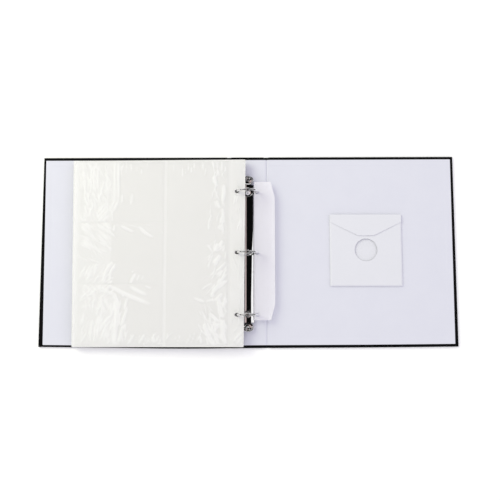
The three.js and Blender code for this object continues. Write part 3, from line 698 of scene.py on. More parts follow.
# Lever: a barrel rolled round the pin, a pressed neck, a dished pad with a low knob, a tongue under the arch
def makeLever(end, along):
    pinLow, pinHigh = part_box(f"{end}_lever_pin")
    pinY, pinZ = (pinLow.y + pinHigh.y) / 2, (pinLow.z + pinHigh.z) / 2
    padPlace = (lever["padAside"], pinY + along * lever["reach"], pinZ + lever["rise"])
    tilt = turn("X", along * lever["tilt"])
    pad = lathe(f"{end}Pad", lever["dish"], 56, padPlace, (*lever["pad"], mm), tilt, sharp=60)
    arc = np.linspace(-math.pi / 2, math.pi / 2, 25)
    arc = arc[np.sin(arc) > lever["knobFrom"]]
    dome = np.stack([np.maximum(1e-6, lever["knob"] * np.cos(arc)), lever["knobRise"] * np.sin(arc)], 1)
    dome = np.vstack([(1e-6, dome[0, 1]), dome])
    shift = tilt @ Vector((0, along * lever["knobReach"], 0))
    knobPlace = (lever["knobAside"], padPlace[1] + shift.y, padPlace[2] + shift.z)
    knob = lathe(f"{end}Knob", dome, 44, knobPlace, spin=turn("X", along * lever["knobTilt"]), sharp=60)
    t, shape = np.linspace(0, 1, 14), lever["neck"]
    pathY = pinY + along * (shape["start"] + t * shape["length"])
    pathZ = pinZ + shape["base"] + ease(t, *shape["climb"]) * shape["rise"]
    width = shape["half"] - shape["waist"] * np.sin(math.pi * t) ** 2
    thick = shape["thick"] - shape["thinned"] * ease(t, 0.0, shape["thinBy"])
    neck = strap(f"{end}Neck", np.stack([pathY, pathZ], 1), np.stack([width, thick], 1), power=8.0)
    barrel = lathe(f"{end}Barrel", lever["barrel"], 32, (0, pinY, pinZ), spin=turn("Y", 90), sharp=40)
    shape = lever["tongue"]
    path = np.stack([pinY - along * np.linspace(*shape["reach"], 6), np.full(6, pinZ - shape["drop"])], 1)
    tongue = strap(f"{end}Tongue", path, np.tile(shape["half"], (6, 1)))
    return join(f"{end}Lever", [pad, knob, neck, barrel, tongue])


dress(makeHousing(), "spine", chrome, ["ring_housing"])
for side, sideName in ((-1, "left"), (1, "right")):
    for spot in ringNames:
        wireRing = makeHalfRing(f"{sideName}HalfRing.{spot}", side, ringY[spot])
        dress(wireRing, f"{sideName}_rings", chrome, [f"{sideName}_half_ring_{spot}"])
# the top rivet takes the finish with the painted reflection, the bottom rivet plain chrome
for end, along, rivetFinish in (("top", 1, rivetPaintedReflection), ("bottom", -1, chrome)):
    dress(makeRivet(end, rivetY[end]), "spine", rivetFinish, [f"{end}_rivet"])
    dress(makeLever(end, along), f"{end}_lever", chrome, [f"{end}_lever"])
for node in ("left_blade", "right_blade", "top_lever_pin", "bottom_lever_pin"):
    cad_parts[node].data.materials.clear()
    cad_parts[node].data.materials.append(steel)
print("mechanism ready")


# Holes: a square opening's corners pulled onto an oval, and the grid round it eased back
def roundHoles(x, y, holes, reach=1.9):
    for centreX, centreY, halfX, halfY in holes:
        a, b = (x - centreX) / halfX, (y - centreY) / halfY
        square, circle = np.maximum(np.abs(a), np.abs(b)), np.hypot(a, b)
        pull = 1 - ease(square, 1.0, reach)
        grow = 1 + (np.where(circle > 0, square / np.maximum(circle, 1e-9), 1) - 1) * pull
        x, y = centreX + a * grow * halfX, centreY + b * grow * halfY
    return x, y


# Grid lines that a round hole needs along one axis
def holeLines(centre, half):
    return centre + half * np.array([-1.9, -1.45, -1, -0.66, -0.33, 0, 0.33, 0.66, 1, 1.45, 1.9])


# Which lines of a base grid keep clear of the marks' own lines
def clearOf(base, marks, step):
    return base[np.min(np.abs(base[:, None] - marks[None]), axis=1) > 0.35 * step]


# Quads of a grid whose middles lie outside the square openings
def outsideHoles(x, y, holes):
    middleX, middleY = (x[1:, 1:] + x[:-1, :-1]) / 2, (y[1:, 1:] + y[:-1, :-1]) / 2
    keep = np.ones(middleX.shape, bool)
    for centreX, centreY, halfX, halfY in holes:
        keep &= (np.abs(middleX - centreX) >= halfX) | (np.abs(middleY - centreY) >= halfY)
    return keep


# Grid lines at a step, thinned where the marks' own lines are
def gridLines(low, high, step, marks):
    marks = np.ravel(marks)
    marks = np.concatenate([[low, high], marks[(marks > low) & (marks < high)]])
    base = np.linspace(low, high, int(round((high - low) / step)) + 1)
    lines = np.sort(np.concatenate([clearOf(base, marks, step), marks]))
    return lines[np.concatenate([[True], np.diff(lines) > 1e-6])]


# Sheet lifter

lifter = dict(
    trim=2.2 * mm, inner=8.6 * mm, valley=6.4 * mm, outer=10.2 * mm, thickness=0.6 * mm,
    taper=(7.5 * mm, 28 * mm), hole=(4.0 * mm, 3.2 * mm), holeShift=1.4 * mm, wireRise=8.4 * mm,
    steps=(1.4 * mm, 3 * mm))


# A strip curved by a parabola through three heights, punched for the wires, its outer corners drawn in
def makeLifter():
    low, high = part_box("sheet_lifter")
    low.y += lifter["trim"]
    wireX = math.sqrt(ringRadius**2 - (lifter["wireRise"] + liningTop - ringCentreZ) ** 2)
    holes = [(wireX + lifter["holeShift"], ringY[spot], *lifter["hole"]) for spot in ringNames]
    xs = gridLines(low.x, high.x, lifter["steps"][0], holeLines(holes[0][0], holes[0][2]))
    ys = gridLines(low.y, high.y, lifter["steps"][1], [holeLines(hole[1], hole[3]) for hole in holes])
    x, y = grid(xs, ys)
    keep = outsideHoles(x, y, holes)
    x, y = roundHoles(x, y, holes, reach=1.28)
    t = (x - low.x) / (high.x - low.x)
    z = (1 - t) ** 2 * lifter["inner"] + 2 * t * (1 - t) * lifter["valley"] + t**2 * lifter["outer"]
    width, length = lifter["taper"]
    drawn = width * np.clip(1 - np.minimum(y - low.y, high.y - y) / length, 0, 1)
    x = low.x + (x - low.x) * (1 - t**3 * drawn / (high.x - low.x))
    top = np.stack([x, y, z + liningTop + lifter["thickness"]], -1)
    return sheet("sheetLifter", top, lifter["thickness"], keep=keep)


dress(makeLifter(), "sheet_lifter", lifterPlastic, ["sheet_lifter"])

# Photo leaves

leaf = dict(
    count=6, film=0.25 * mm, divider=0.25 * mm, gap=0.3 * mm, corner=1.6 * mm, border=1.5 * mm,
    hole=(3.9 * mm, 3.15 * mm), lowestHole=(4.6 * mm, 3.7 * mm), holeToEdge=12.3 * mm, holeShift=1.0 * mm)
# a leaf isn't quite square: what is taken off at tail and head, and how far its two long edges lean
leaf.update(trim=(-1.5 * mm, 2.7 * mm), fore=(4.0 * mm, -1.0 * mm), bind=(-1.6 * mm, 1.8 * mm))
# grid steps of the top leaf and of the others; the top film's middle, between two picture columns, is coarse
leaf.update(topSteps=(1.42 * mm, 2.6 * mm), steps=(5 * mm, 6 * mm), flat=(128, 198), middleV=250)
# the binding strip's two lines are places in X, the rows of pockets picture heights at the column rowsU
weld = dict(
    seam=-144.4 * mm, strip=(-30.2 * mm, -32.9 * mm), rows=(222, 284), rowsU=100, border=10 * mm,
    width=2.6 * mm, margin=2.2 * mm, borderHalf=0.4 * mm, stripHalf=0.7 * mm, rowHalf=0.3 * mm,
    rimLines=np.array([0.6, 2.0]) * mm, seamLines=np.array([2.0, 2.8, 3.6]) * mm)
film = dict(
    thickness=0.2 * mm, sunk=0.28 * mm, sunkReach=1.6 * mm, swell=0.12 * mm, slack=0.02 * mm, wave=0.05 * mm,
    freeReach=7 * mm, crease=1.0 * mm, creaseFade=(-0.5 * mm, 2.5 * mm), loose=0.2 * mm, looseFade=3 * mm,
    waveCloser=5)
# The haze on crease crests, growing with their height, is partly milky creasing and partly a painted
# highlight
film["haze"] = dict(weld=0.42, row=0.12, border=0.8, binding=0.35, loose=0.38, crest=0.3, sheenFullAt=0.5)
film["haze"].update(perHeight=1.5, clearBelow=0.1)
# how far from each weld its haze reaches, the border's reach in shares of its width
film["fade"] = dict(weld=(-0.4 * mm, 0.8 * mm), row=(-0.2 * mm, 0.6 * mm), border=(0.7, 1.5), binding=2 * mm)

# Creases of the top leaf's film, chosen on the photograph: from (u, v) to (u, v), the bow and width in
# picture points, the height in mm
creases = [
    (114.4, 160, 114.2, 201, 0.3, 0.8, 0.75), (117.9, 160, 118, 199, 0.2, 0.8, 0.75),
    (114.2, 199, 108.5, 211, 0.6, 0.9, 0.7), (118, 198, 111.5, 212, 1, 0.9, 0.6),
    (121.5, 193, 121, 203, 0.2, 0.8, 0.5), (131.5, 192, 130, 205, 0.4, 0.9, 0.5),
    (95.5, 165, 94.5, 190, -1.6, 0.9, 0.7), (92, 166, 91.5, 187, -1.2, 0.7, 0.6),
    (99, 164, 98.5, 192, -2, 0.8, 0.5), (86, 172, 88, 190, 1, 0.8, 0.5), (83.5, 170, 84, 195, 0.8, 0.7, 0.5),
    (88.5, 176, 90, 192, 0.8, 0.7, 0.5), (103.5, 180, 98, 200, 0.6, 0.9, 0.6),
    (107, 176, 105.5, 192, 0.4, 0.8, 0.4), (92, 205, 87.5, 216, 0.5, 0.9, 0.6),
    (104, 202, 97, 212, 0.4, 0.9, 0.7), (106, 206, 96.5, 217, 0.3, 0.9, 0.7),
    (108, 209, 97.5, 221, 0.3, 1, 0.8), (109, 214, 101, 223, 0.3, 0.9, 0.6),
    (80.5, 225, 94.5, 239, 0.4, 0.8, 0.8), (83, 224, 92, 233, 0.3, 0.6, 0.5),
    (97, 224, 109.5, 232, -0.6, 1, 0.8), (97, 229, 109, 239, -0.5, 1, 0.6),
    (98.5, 234, 106.5, 245, -0.4, 0.9, 0.6), (104, 222, 110.5, 228, -0.3, 0.9, 0.6),
    (82, 239, 92, 248, 0.5, 0.8, 0.5), (80.5, 245, 91, 249, 0.4, 0.7, 0.4),
    (120, 225, 133.5, 231.5, -0.4, 1, 0.8), (138.5, 226, 152.5, 237, -1, 1, 0.9),
    (128, 224, 140, 228, 0.2, 0.7, 0.4), (160.5, 231, 167, 236, 0.2, 0.9, 0.4),
    (113.8, 224, 112.8, 231, 0.1, 0.9, 0.6), (145, 224, 151, 226, 0.1, 0.7, 0.3),
    (112.5, 262, 103, 283, -2.2, 1.1, 1), (115, 263, 108.5, 280, -1.2, 0.9, 0.7),
    (96, 264, 92.5, 273, 0.2, 0.8, 0.5), (89, 267, 83.5, 276, 0.2, 0.8, 0.6),
    (91, 270, 86, 280, 0.2, 0.8, 0.5), (84, 285, 95, 296, 0.3, 0.8, 0.5), (87.5, 288, 96, 301, 0.3, 0.8, 0.5),
    (90, 284, 97, 293, 0.2, 0.7, 0.5), (82, 290, 91, 303, 0.3, 0.7, 0.4),
    (106, 284, 150, 304, -1.2, 1.6, 0.7), (128.5, 285.5, 147, 295, -0.5, 1.5, 0.6),
    (135, 273, 129.5, 284, -0.4, 1, 0.8), (131, 272.5, 133, 270.5, 0, 0.8, 0.5),
    (139, 274, 136, 281, 0.1, 0.8, 0.5), (143, 275, 141, 280, 0.1, 0.8, 0.4),
    (144, 285, 151, 289, 0.1, 0.9, 0.5), (162, 273, 163.5, 281, 0.2, 0.7, 0.4),
    (97.5, 287, 114, 294, -0.8, 1.1, 0.9), (114, 293, 116.2, 300, -0.8, 1.1, 0.9),
    (116.2, 299, 113.6, 344, 0.5, 1.3, 1.2), (120.5, 291, 123, 297, 0.2, 0.9, 0.6),
    (127.5, 297, 124, 310, -0.5, 0.9, 0.7), (126.5, 306, 120.5, 326, 0.6, 1, 0.8),
    (122, 325, 116.8, 344, 0.8, 1, 0.8), (124.5, 324, 119.5, 334, 0.3, 0.8, 0.5),
    (110.5, 303, 111, 316, -0.5, 1, 0.7), (111, 315, 98.5, 332, -1.2, 0.9, 0.8),
    (109.5, 321, 101, 338, -0.9, 0.9, 0.7), (107, 327, 103.5, 341, -0.5, 0.8, 0.5),
    (98, 315, 96, 340, 0.6, 0.9, 0.7), (101, 318, 99, 330, 0.4, 0.8, 0.5),
    (91.5, 320, 89.5, 340, 0.5, 0.8, 0.6), (94.5, 325, 93, 343, 0.4, 0.8, 0.5),
    (100, 297, 105, 312, -0.7, 0.9, 0.6), (104, 296, 108, 308, -0.6, 0.9, 0.5),
    (80, 308, 90, 305, 0.3, 0.8, 0.4), (133.5, 334, 127.5, 344, 0.2, 0.8, 0.7),
    (131.5, 334, 129, 338, 0.1, 0.7, 0.4), (144, 334, 138, 344, 0.2, 0.9, 0.8),
    (154.5, 334, 151.5, 342, 0.1, 0.9, 0.7), (158.5, 335, 155, 343, 0.1, 0.8, 0.6),
    (164.5, 335, 162, 343, 0.1, 0.8, 0.5), (126, 165, 125, 174, 0.1, 0.8, 0.3),
    (131, 164, 130, 173, 0.1, 0.8, 0.3), (137, 165, 136, 172, 0.1, 0.8, 0.25),
    (214, 176, 217, 186, -0.8, 1.1, 0.9), (222, 160, 221.5, 172, 0.2, 0.9, 0.5),
    (224, 184, 223, 201, 0.4, 1.1, 0.9), (216.5, 200, 220, 208, -0.4, 1.1, 0.9),
    (222, 208, 223.5, 222, 0.4, 1.1, 0.7), (219, 225, 222.5, 230, -0.5, 1.1, 0.9),
    (212, 160, 213.5, 167, 0.2, 0.8, 0.4), (216, 161, 217, 169, 0.2, 0.8, 0.4),
    (207, 244, 212, 252, 0.3, 0.9, 0.5), (217.5, 243, 215, 251, 0.2, 1, 0.8),
    (222.5, 240, 219, 246, 0.2, 1, 0.8), (224, 246, 222.5, 252, 0.1, 0.9, 0.6),
    (220, 255, 213, 263, 0.6, 1.3, 1), (224, 264, 217, 271, 0.3, 1, 0.8), (222, 270, 216, 275, 0.2, 0.9, 0.6),
    (225.5, 274, 218, 283, 0.4, 1, 0.7), (226, 281, 212, 293, -1.2, 1.3, 1.1),
    (212.5, 292, 211.5, 297, 0.3, 1.1, 0.8), (222.5, 293, 214, 301, 0.4, 1.2, 0.9),
    (193, 297, 205, 302, -0.5, 1, 0.6), (205, 302, 214, 300, 0.6, 0.9, 0.5),
    (218, 297, 223.5, 318, -0.8, 1.3, 1), (226, 298, 222.5, 308, 0.3, 1.1, 0.8),
    (210, 313, 219, 322, -0.4, 1.1, 0.9), (213, 323, 225, 327, -0.4, 1.2, 0.9),
    (204, 324, 214.5, 346, -1, 1.4, 1.2), (211.5, 327, 219.5, 345, -0.6, 1.2, 0.8),
    (232.5, 343, 242.5, 331, 0.4, 1, 0.6), (236, 345, 243.5, 336, 0.3, 0.9, 0.5),
    (233, 333, 240, 325, 0.3, 0.9, 0.4), (222, 320, 224.5, 344, -0.6, 1.4, 1.1),
    (200, 336, 201, 344, 0.1, 1, 0.6), (206, 337, 208, 345, 0.1, 0.9, 0.5),
]
# Where finer crinkles fill in: picture box, how many, and the way they run in degrees from vertical
crinkles = [
    dict(box=(81, 162, 112, 222), count=90, lean=(-25, 10)),
    dict(box=(81, 222, 111, 262), count=60, lean=(-70, -30)),
    dict(box=(81, 262, 112, 300), count=60, lean=(20, 60)),
    dict(box=(81, 300, 126, 345), count=90, lean=(-5, 30)),
    dict(box=(209, 160, 227, 235), count=40, lean=(-30, 30)),
    dict(box=(206, 240, 228, 300), count=55, lean=(10, 60)),
    dict(box=(200, 300, 228, 345), count=50, lean=(-50, 10)),
    dict(box=(126, 334, 200, 345), count=26, lean=(15, 45)),
    dict(box=(118, 161, 210, 172), count=24, lean=(-10, 10)),
    dict(box=(232, 165, 243, 345), count=26, lean=(-20, 20)),
]
# A crinkle's half length, bow and width in picture points and its height in mm, each drawn from a range. The
# chosen creases are drawn higher and wider by these factors, and what piles up is cut off at the crest
crinkle = dict(seed=11, reach=(2.5, 8.0), height=(0.22, 0.62), bow=(-1, 1), width=(0.45, 0.85))
crinkle.update(higher=1.15, wider=1.35, crest=1.3)
# Where the film stands clear of the divider along the fore edge: (u, v) down its inner limit
looseEdge = [
    (119, 158), (118.5, 200), (113, 211), (111.3, 222), (111.2, 250), (109.5, 265), (103, 281), (108, 290),
    (115, 297), (117, 320), (118, 347),
]


# Height of one crease: a bell-shaped ridge along a bowed line, which dies away at both ends
def ridge(x, y, start, end, bow, width):
    (x0, y0), (x1, y1) = start, end
    half = math.hypot(x1 - x0, y1 - y0) / 2
    dirX, dirY = (x1 - x0) / (2 * half), (y1 - y0) / (2 * half)
    awayX, awayY = x - (x0 + x1) / 2, y - (y0 + y1) / 2
    along = (awayX * dirX + awayY * dirY) / half
    off = awayY * dirX - awayX * dirY - bow * (1 - np.clip(along, -1, 1) ** 2)
    fade = np.clip(1.15 - along**2, 0, 1) ** 0.7 * (np.abs(along) < 1.07)
    return np.exp(-((off / width) ** 2)) * fade


# Heights of the top leaf's creases in millimetres, with the finer crinkles seeded
def creaseHeights(x, y, z):
    pixel = shot["place"][2] / shot["focal"]
    total = np.zeros_like(x)
    for u0, v0, u1, v1, bow, width, height in creases:
        start, end = throughPixel(u0, v0, z), throughPixel(u1, v1, z)
        shape = ridge(x, y, start, end, bow * pixel, crinkle["wider"] * width * pixel)
        total = np.maximum(total, crinkle["higher"] * height * shape)
    dice = np.random.default_rng(crinkle["seed"])
    for zone in crinkles:
        u0, v0, u1, v1 = zone["box"]
        for _ in range(zone["count"]):
            u, v = dice.uniform(u0, u1), dice.uniform(v0, v1)
            lean = math.radians(dice.uniform(*zone["lean"]))
            reach = dice.uniform(*crinkle["reach"])
            du, dv = reach * math.sin(lean), -reach * math.cos(lean)
            start, end = throughPixel(u - du, v - dv, z), throughPixel(u + du, v + dv, z)
            height, bow, width = [dice.uniform(*crinkle[key]) for key in ("height", "bow", "width")]
            total += height * ridge(x, y, start, end, bow * pixel, width * pixel)
    return np.minimum(total, crinkle["crest"])


# Distance to a leaf's nearest weld: its borders, the seam between its columns and the two lines of its
# binding strip. The rows of pockets come on their own
def weldDistance(x, y, low, high):
    near = np.minimum(x - low.x, high.x - x) - weld["width"]
    near = np.minimum(near, np.minimum(y - low.y, high.y - y) - weld["margin"])
    near = np.minimum(near, np.abs(x - weld["seam"]) - weld["width"])
    near = np.minimum(near, np.abs(x - (low.x + weld["border"])) - weld["borderHalf"])
    for place in weld["strip"]:
        near = np.minimum(near, np.abs(x - place) - weld["stripHalf"])
    rowY = [throughPixel(weld["rowsU"], v, high.z)[1] for v in weld["rows"]]
    rows = np.min([np.abs(y - place) for place in rowY], axis=0) - weld["rowHalf"]
    return near, np.where(x < weld["seam"], rows, 1)


# Square corners of a grid pulled onto quarter circles
def roundCorners(x, y, low, high):
    radius = leaf["corner"]
    signX, signY = np.where(x > (low.x + high.x) / 2, 1, -1), np.where(y > (low.y + high.y) / 2, 1, -1)
    a = np.clip((signX * (x - (low.x + high.x) / 2) - (high.x - low.x) / 2) / radius + 1, 0, 1)
    b = np.clip((signY * (y - (low.y + high.y) / 2) - (high.y - low.y) / 2) / radius + 1, 0, 1)
    pull = np.where((a > 0) & (b > 0), np.maximum(a, b) / np.maximum(np.hypot(a, b), 1e-9), 1)
    return x + signX * radius * a * (pull - 1), y + signY * radius * b * (pull - 1)


# Grid of a leaf's sheet, with lines at its edges, its seam and its holes, then rounded and leaned
def leafGrid(low, high, holes, stepX, stepY, flatStep=None):
    holeX, holeHalf = holes[0][0], holes[0][2]
    rim, seam, seamX = weld["rimLines"], weld["seamLines"], weld["seam"]
    marks = [holeLines(holeX, holeHalf), low.x + rim, high.x - rim, seamX - seam, seamX + seam]
    marks = np.concatenate(marks)
    if flatStep:
        turns = [low.x, *[throughPixel(u, leaf["middleV"], high.z)[0] for u in leaf["flat"]], high.x]
        parts = [gridLines(a, b, step, []) for a, b, step in zip(turns, turns[1:], (stepX, flatStep, stepX))]
        base = clearOf(np.unique(np.round(np.concatenate(parts), 7)), marks, stepX)
        xs = np.unique(np.concatenate([base, marks, [low.x, high.x]]))
    else:
        xs = gridLines(low.x, high.x, stepX, marks)
    marks = np.concatenate([*[holeLines(hole[1], hole[3]) for hole in holes], low.y + rim, high.y - rim])
    x, y = grid(xs, gridLines(low.y, high.y, stepY, marks))
    keep = outsideHoles(x, y, holes)
    x, y = roundCorners(*roundHoles(x, y, holes), low, high)
    share = (y - low.y) / (high.y - low.y)
    fore = leaf["fore"][0] * (1 - share) + leaf["fore"][1] * share
    bind = leaf["bind"][0] * (1 - share) + leaf["bind"][1] * share
    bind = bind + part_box(f"leaf_{leaf['count']}_divider")[1].x - high.x
    x = x + fore * np.clip((seamX - x) / (seamX - low.x), 0, 1)
    return x + bind * ease(x, holeX + holeHalf, high.x), y, keep


# How far a film stands off its divider and how milky it is: sunk and hazy at the welds, free between them
def filmShape(x, y, low, high, creased):
    haze, fade, strip = film["haze"], film["fade"], weld["strip"][0]
    welded, rows = weldDistance(x, y, low, high)
    apart = np.minimum(welded, rows)
    free = ease(apart, 0, film["freeReach"])
    swell = film["swell" if creased else "slack"]
    lift = swell * free - film["sunk"] * (1 - ease(apart, 0, film["sunkReach"]))
    milk = haze["weld"] * (1 - ease(welded, *fade["weld"])) + haze["row"] * (1 - ease(rows, *fade["row"]))
    milk = np.maximum(milk, haze["border"] * (1 - ease((x - low.x) / weld["border"], *fade["border"])))
    milk = np.maximum(milk, haze["binding"] * ease(x, strip - fade["binding"], strip))
    if not creased:
        closer = film["waveCloser"]
        return lift + film["wave"] * ripple(x * closer, y * closer) * free, milk
    heights = creaseHeights(x, y, high.z) * ease(apart, *film["creaseFade"])
    edgeX, edgeY = np.transpose([throughPixel(u, v, high.z) for u, v in looseEdge])
    loose = 1 - ease(x - np.interp(y, edgeY[::-1], edgeX[::-1]), -film["looseFade"], film["looseFade"])
    lift = lift + film["crease"] * heights + film["loose"] * loose
    # Crests of the creases made milky by their height: partly real creasing, partly a painted highlight
    crest = haze["crest"] * np.clip(heights / haze["sheenFullAt"], 0, 1)
    milk = np.maximum(milk, loose * (haze["loose"] + crest))
    return lift, np.maximum(milk, np.clip(haze["perHeight"] * heights - haze["clearBelow"], 0, 1))


# One leaf: two films welded round the pockets, with the divider between them, all on one slant
def makeLeaf(number):
    low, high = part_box(f"leaf_{number}_divider")
    low.y, high.y = low.y + leaf["trim"][0], high.y - leaf["trim"][1]
    top, body = number == leaf["count"], f"leaf_{number}"
    slope = (high.z - low.z - leaf["divider"]) / (high.x - low.x)
    half = leaf["lowestHole"] if number == 1 else leaf["hole"]
    holes = [(high.x - leaf["holeToEdge"] - leaf["holeShift"], ringY[spot], *half) for spot in ringNames]
    fine, coarse = leaf["topSteps"] if top else leaf["steps"]

    def middle(x):
        return low.z + leaf["divider"] / 2 + slope * (x - low.x)

    for layer, sign in (("Lower", -1), ("Upper", 1)):
        creased = top and sign > 0
        steps = (fine, fine, coarse) if creased else (fine, coarse)
        x, y, keep = leafGrid(low, high, holes, *steps)
        lift, milk = filmShape(x, y, low, high, creased)
        z = middle(x) + sign * (leaf["divider"] / 2 + leaf["gap"] + leaf["film"] + lift)
        order = slice(None, None, sign)
        x, y, z, milk, keep = x[order], y[order], z[order], milk[order], keep[order]
        name, values = f"leaf{number}{layer}Film", {"haze": milk}
        piece = sheet(name, np.stack([x, y, z], -1), film["thickness"], keep, values, (0, 0, -sign))
        dress(piece, body, clearFilm, [f"{body}_{layer.lower()}_film"])
    x, y, keep = leafGrid(low, high, holes, 2 * coarse, 2 * coarse)
    x = low.x + leaf["border"] + (x - low.x) * (high.x - low.x - leaf["border"]) / (high.x - low.x)
    surface = np.stack([x, y, middle(x) + leaf["divider"] / 2], -1)
    divider = sheet(f"leaf{number}Divider", surface, leaf["divider"], keep)
    dress(divider, body, dividerSheet, [f"{body}_divider"])


for number in range(1, leaf["count"] + 1):
    makeLeaf(number)
print("leaves ready")

# Disc pocket

pocket = dict(
    paper=0.3 * mm, hole=20 * mm, holeRise=1.0 * mm, seam=1.8 * mm, glued=0.3, step=4 * mm,
    flapDepth=37.6 * mm, shoulder=13.6 * mm, tip=28 * mm, tipRound=0.04, curl=0.6 * mm, wave=0.1 * mm,
    fold=0.25 * mm, foldReach=1.5 * mm, wallGap=(0.1 * mm, 0.4 * mm))
pocket["rim"] = np.array([0, 0.4, 1, 2, 3.2, 5, 7]) * mm  # grid lines near a glued edge
pocket["ring"] = np.array([0.1, 0.3, 0.5, 0.7, 0.85, 1, 1.08, 1.25, 1.5])  # and across half of the thumb hole


def makePocketBack():
    low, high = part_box("pocket_back_panel")
    x, y = grid(np.linspace(low.x, high.x, 20), np.linspace(low.y, high.y - pocket["paper"], 20))
    top = np.stack([x, y, np.full_like(x, low.z + pocket["paper"])], -1)
    return sheet("pocketBack", top, pocket["paper"])


# Front panel: flat, falling to the back panel at its three glued edges
def makePocketFront():
    low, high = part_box("pocket_front_panel")
    holeX, holeY = (low.x + high.x) / 2, (low.y + high.y) / 2 + pocket["holeRise"]
    holes = [(holeX, holeY, pocket["hole"], pocket["hole"])]
    across = np.concatenate([-pocket["ring"][::-1], pocket["ring"]]) * pocket["hole"]
    rim = pocket["rim"]
    xs = gridLines(low.x, high.x, pocket["step"], np.concatenate([holeX + across, low.x + rim, high.x - rim]))
    x, y = grid(xs, gridLines(low.y, high.y, pocket["step"], np.concatenate([holeY + across, low.y + rim])))
    keep = outsideHoles(x, y, holes)
    x, y = roundHoles(x, y, holes, reach=1.5)
    seam = pocket["seam"]
    rise = ease(x - low.x, 0, seam) * ease(high.x - x, 0, seam) * ease(y - low.y, 0, seam)
    bottom = low.z + pocket["paper"]
    z = bottom + (high.z - bottom) * (pocket["glued"] + (1 - pocket["glued"]) * rise)
    return sheet("pocketFront", np.stack([x, y, z], -1), pocket["paper"], keep)


# Flap: its sides drop from the fold, then slant in to a straight tip, with corners rounded by a hyperbola.
# Its free edge curls up by a power of the depth, and a wall closes the pocket below the fold
def makeFlap():
    low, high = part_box("pocket_flap")
    middle, half, fold = (low.x + high.x) / 2, (high.x - low.x) / 2, high.y
    across, down = grid(np.linspace(-1, 1, 161), np.linspace(1, 0, 26))
    slant = half * (1 - np.abs(across)) / (half - pocket["tip"] / 2)
    sweep = 0.5 * (slant + 1 - np.sqrt((slant - 1) ** 2 + pocket["tipRound"] ** 2))
    depth = pocket["shoulder"] + (pocket["flapDepth"] - pocket["shoulder"]) * np.clip(sweep, 0, 1)
    below = depth * down
    z = high.z - pocket["fold"] * (1 - ease(below, 0, pocket["foldReach"]))
    z = z + (pocket["curl"] + pocket["wave"] * np.sin(2.2 * across)) * (below / pocket["flapDepth"]) ** 1.5
    flap = sheet("pocketFlap", np.stack([middle + across * half, fold - below, z], -1), pocket["paper"])
    under, over = pocket["wallGap"]
    x, z = grid(np.linspace(low.x, high.x, 12), np.linspace(low.z + under, high.z - over, 4))
    wall = sheet("flapWall", np.stack([x, np.full_like(x, fold), z], -1), pocket["paper"], down=(0, -1, 0))
    return join("pocketFlap", [flap, outward(wall)])


dress(makePocketBack(), "back_cover", pocketPaper, ["pocket_back_panel"])
dress(makePocketFront(), "back_cover", pocketPaper, ["pocket_front_panel"])
dress(makeFlap(), "pocket_flap", pocketPaper, ["pocket_flap"])
print("pocket ready")

# Studio

studio = dict(
    world=0.84, ambient=(1.0, 0.98, 1.045, 1), floor=0.93, mottle=0.01, glow=0.15, half=6, sink=0.2 * mm)
sideFill = dict(power=1.3, size=1.0, place=(1.5, -0.1, 0.8), color=(0.96, 0.94, 1.0))
softKey = dict(power=17.5, size=1.3, place=(-1.35, 1.0, 1.3), color=(0.94, 1.0, 0.70))


def makeWorld():
    world = bpy.data.worlds.new("studioWorld")
    bpy.context.scene.world = world
    world.use_nodes = True
    tree = world.node_tree
    rays = put(tree, "ShaderNodeLightPath").outputs
    mirrored = math2(tree, "MAXIMUM", rays["Is Glossy Ray"], rays["Is Transmission Ray"])
    seen = math2(tree, "MAXIMUM", rays["Is Camera Ray"], mirrored)
    strength = spread(tree, seen, 0.0, 1.0, (studio["world"], 1.0))
    color = blendColor(tree, seen, studio["ambient"], (1, 1, 1, 1))
    wire(tree, tree.nodes["Background"].inputs, Color=color, Strength=strength)


# Floor: white, with a little light of its own for the camera and for reflections only
def makeFloor():
    half, z = studio["half"], -studio["sink"]
    corners = [(-half, -half, z), (half, -half, z), (half, half, z), (-half, half, z)]
    floor = meshObject("floor", corners, [[0, 1, 2, 3]])
    material, tree, shader, place = begin("paleFloor", Roughness=0.9, Specular_IOR_Level=0.1)
    pale, other = [(studio["floor"] - drop,) * 3 + (1,) for drop in (0, studio["mottle"])]
    rays = put(tree, "ShaderNodeLightPath").outputs
    seen = math2(tree, "MAXIMUM", rays["Is Camera Ray"], rays["Is Glossy Ray"])
    glow = math2(tree, "MULTIPLY", seen, studio["glow"])
    shader.inputs["Emission Color"].default_value = (1, 1, 1, 1)
    color = blendColor(tree, noise(tree, place, 3.0, 2.0), pale, other)
    wire(tree, shader.inputs, Base_Color=color, Emission_Strength=glow)
    floor.data.materials.append(material)


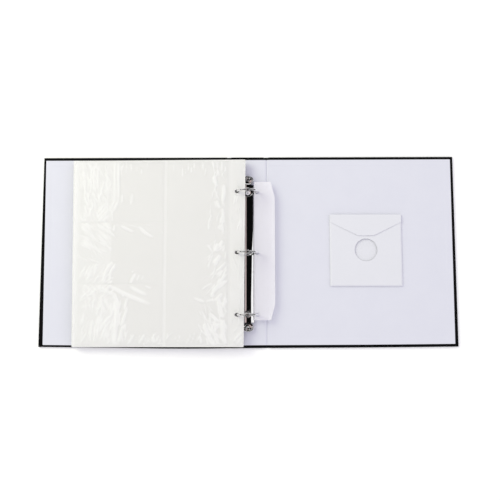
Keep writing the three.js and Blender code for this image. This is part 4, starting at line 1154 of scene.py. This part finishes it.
# Black flags over and round the table, which only reflections see: polished faces turned to the camera
# stay dark, and so do their edges. The walls go from point to point, between a foot and a top
flags = dict(height=1.6, foot=0.05)
flags["black"] = [
    [(-0.10, -3.2), (0.38, -3.2), (0.38, -0.03), (0.64, 0.185), (2.0, 0.47), (2.6, 0.6), (3.6, 0.8),
     (3.6, 2.0), (-0.75, 2.0), (-0.75, 0.62), (-0.10, 0.5)],
    [(0.38, -3.2), (3.6, -3.2), (3.6, -0.22), (0.38, -0.22)],
    [(-3.6, -3.2), (-0.10, -3.2), (-0.10, -0.22), (-3.6, -0.22)],
    [(-1.05, -0.22), (-0.75, -0.22), (-0.75, 2.0), (-1.05, 2.0)],
]
# A rose card that glows but shows only in reflections: a painted reflection on the housing's left flank
flags["rose"] = [[(-0.75, -0.22), (-0.10, -0.22), (-0.10, 0.5), (-0.75, 0.62)]]
flags["walls"] = [
    ((-3.9, -3.9), (3.9, -3.9), 1.9), ((-3.9, -3.9), (-3.9, 3.9), 1.3), ((3.9, -3.9), (3.9, 3.9), 1.9),
    ((-3.9, 3.9), (-0.9, 3.9), 1.9), ((1.4, 3.9), (3.9, 3.9), 1.9), ((-0.9, 3.9), (1.4, 3.9), 0.8),
]


def makeFlags(name, shapes, color, glow, walls=()):
    points, faces, foot = [], [], flags["foot"]
    cards = [[(x, y, flags["height"]) for x, y in shape] for shape in shapes]
    cards += [[(*start, foot), (*end, foot), (*end, top), (*start, top)] for start, end, top in walls]
    for card in cards:
        faces.append(list(range(len(points), len(points) + len(card))))
        points += card
    flag = meshObject(name, points, faces)
    material, _, shader, _ = begin(name, Roughness=1.0, Specular_IOR_Level=0.0)
    shader.inputs["Base Color"].default_value = (0.004, 0.004, 0.004, 1)
    shader.inputs["Emission Color"].default_value = color
    shader.inputs["Emission Strength"].default_value = glow
    flag.data.materials.append(material)
    for ray in ("camera", "diffuse", "transmission", "volume_scatter", "shadow"):
        setattr(flag, f"visible_{ray}", False)


def makeLamp(name, values):
    data = bpy.data.lights.new(name, "AREA")
    data.energy, data.color, data.shape, data.size = values["power"], values["color"], "DISK", values["size"]
    lamp = bpy.data.objects.new(name, data)
    bpy.context.scene.collection.objects.link(lamp)
    lamp.visible_glossy = False
    place = Vector(values["place"])
    lamp.matrix_world = Matrix.Translation(place) @ (-place).to_track_quat("-Z", "Y").to_matrix().to_4x4()


makeWorld()
makeFloor()
makeFlags("blackFlags", flags["black"], (0, 0, 0, 1), 0.0, flags["walls"])
# painted reflection: a glowing rose card that only glossy rays see
makeFlags("roseGlowReflection", flags["rose"], (0.50, 0.40, 0.39, 1), 1.0)
makeLamp("softKey", softKey)
makeLamp("sideFill", sideFill)
bpy.context.scene.view_settings.view_transform = "Standard"

print("album dressed")
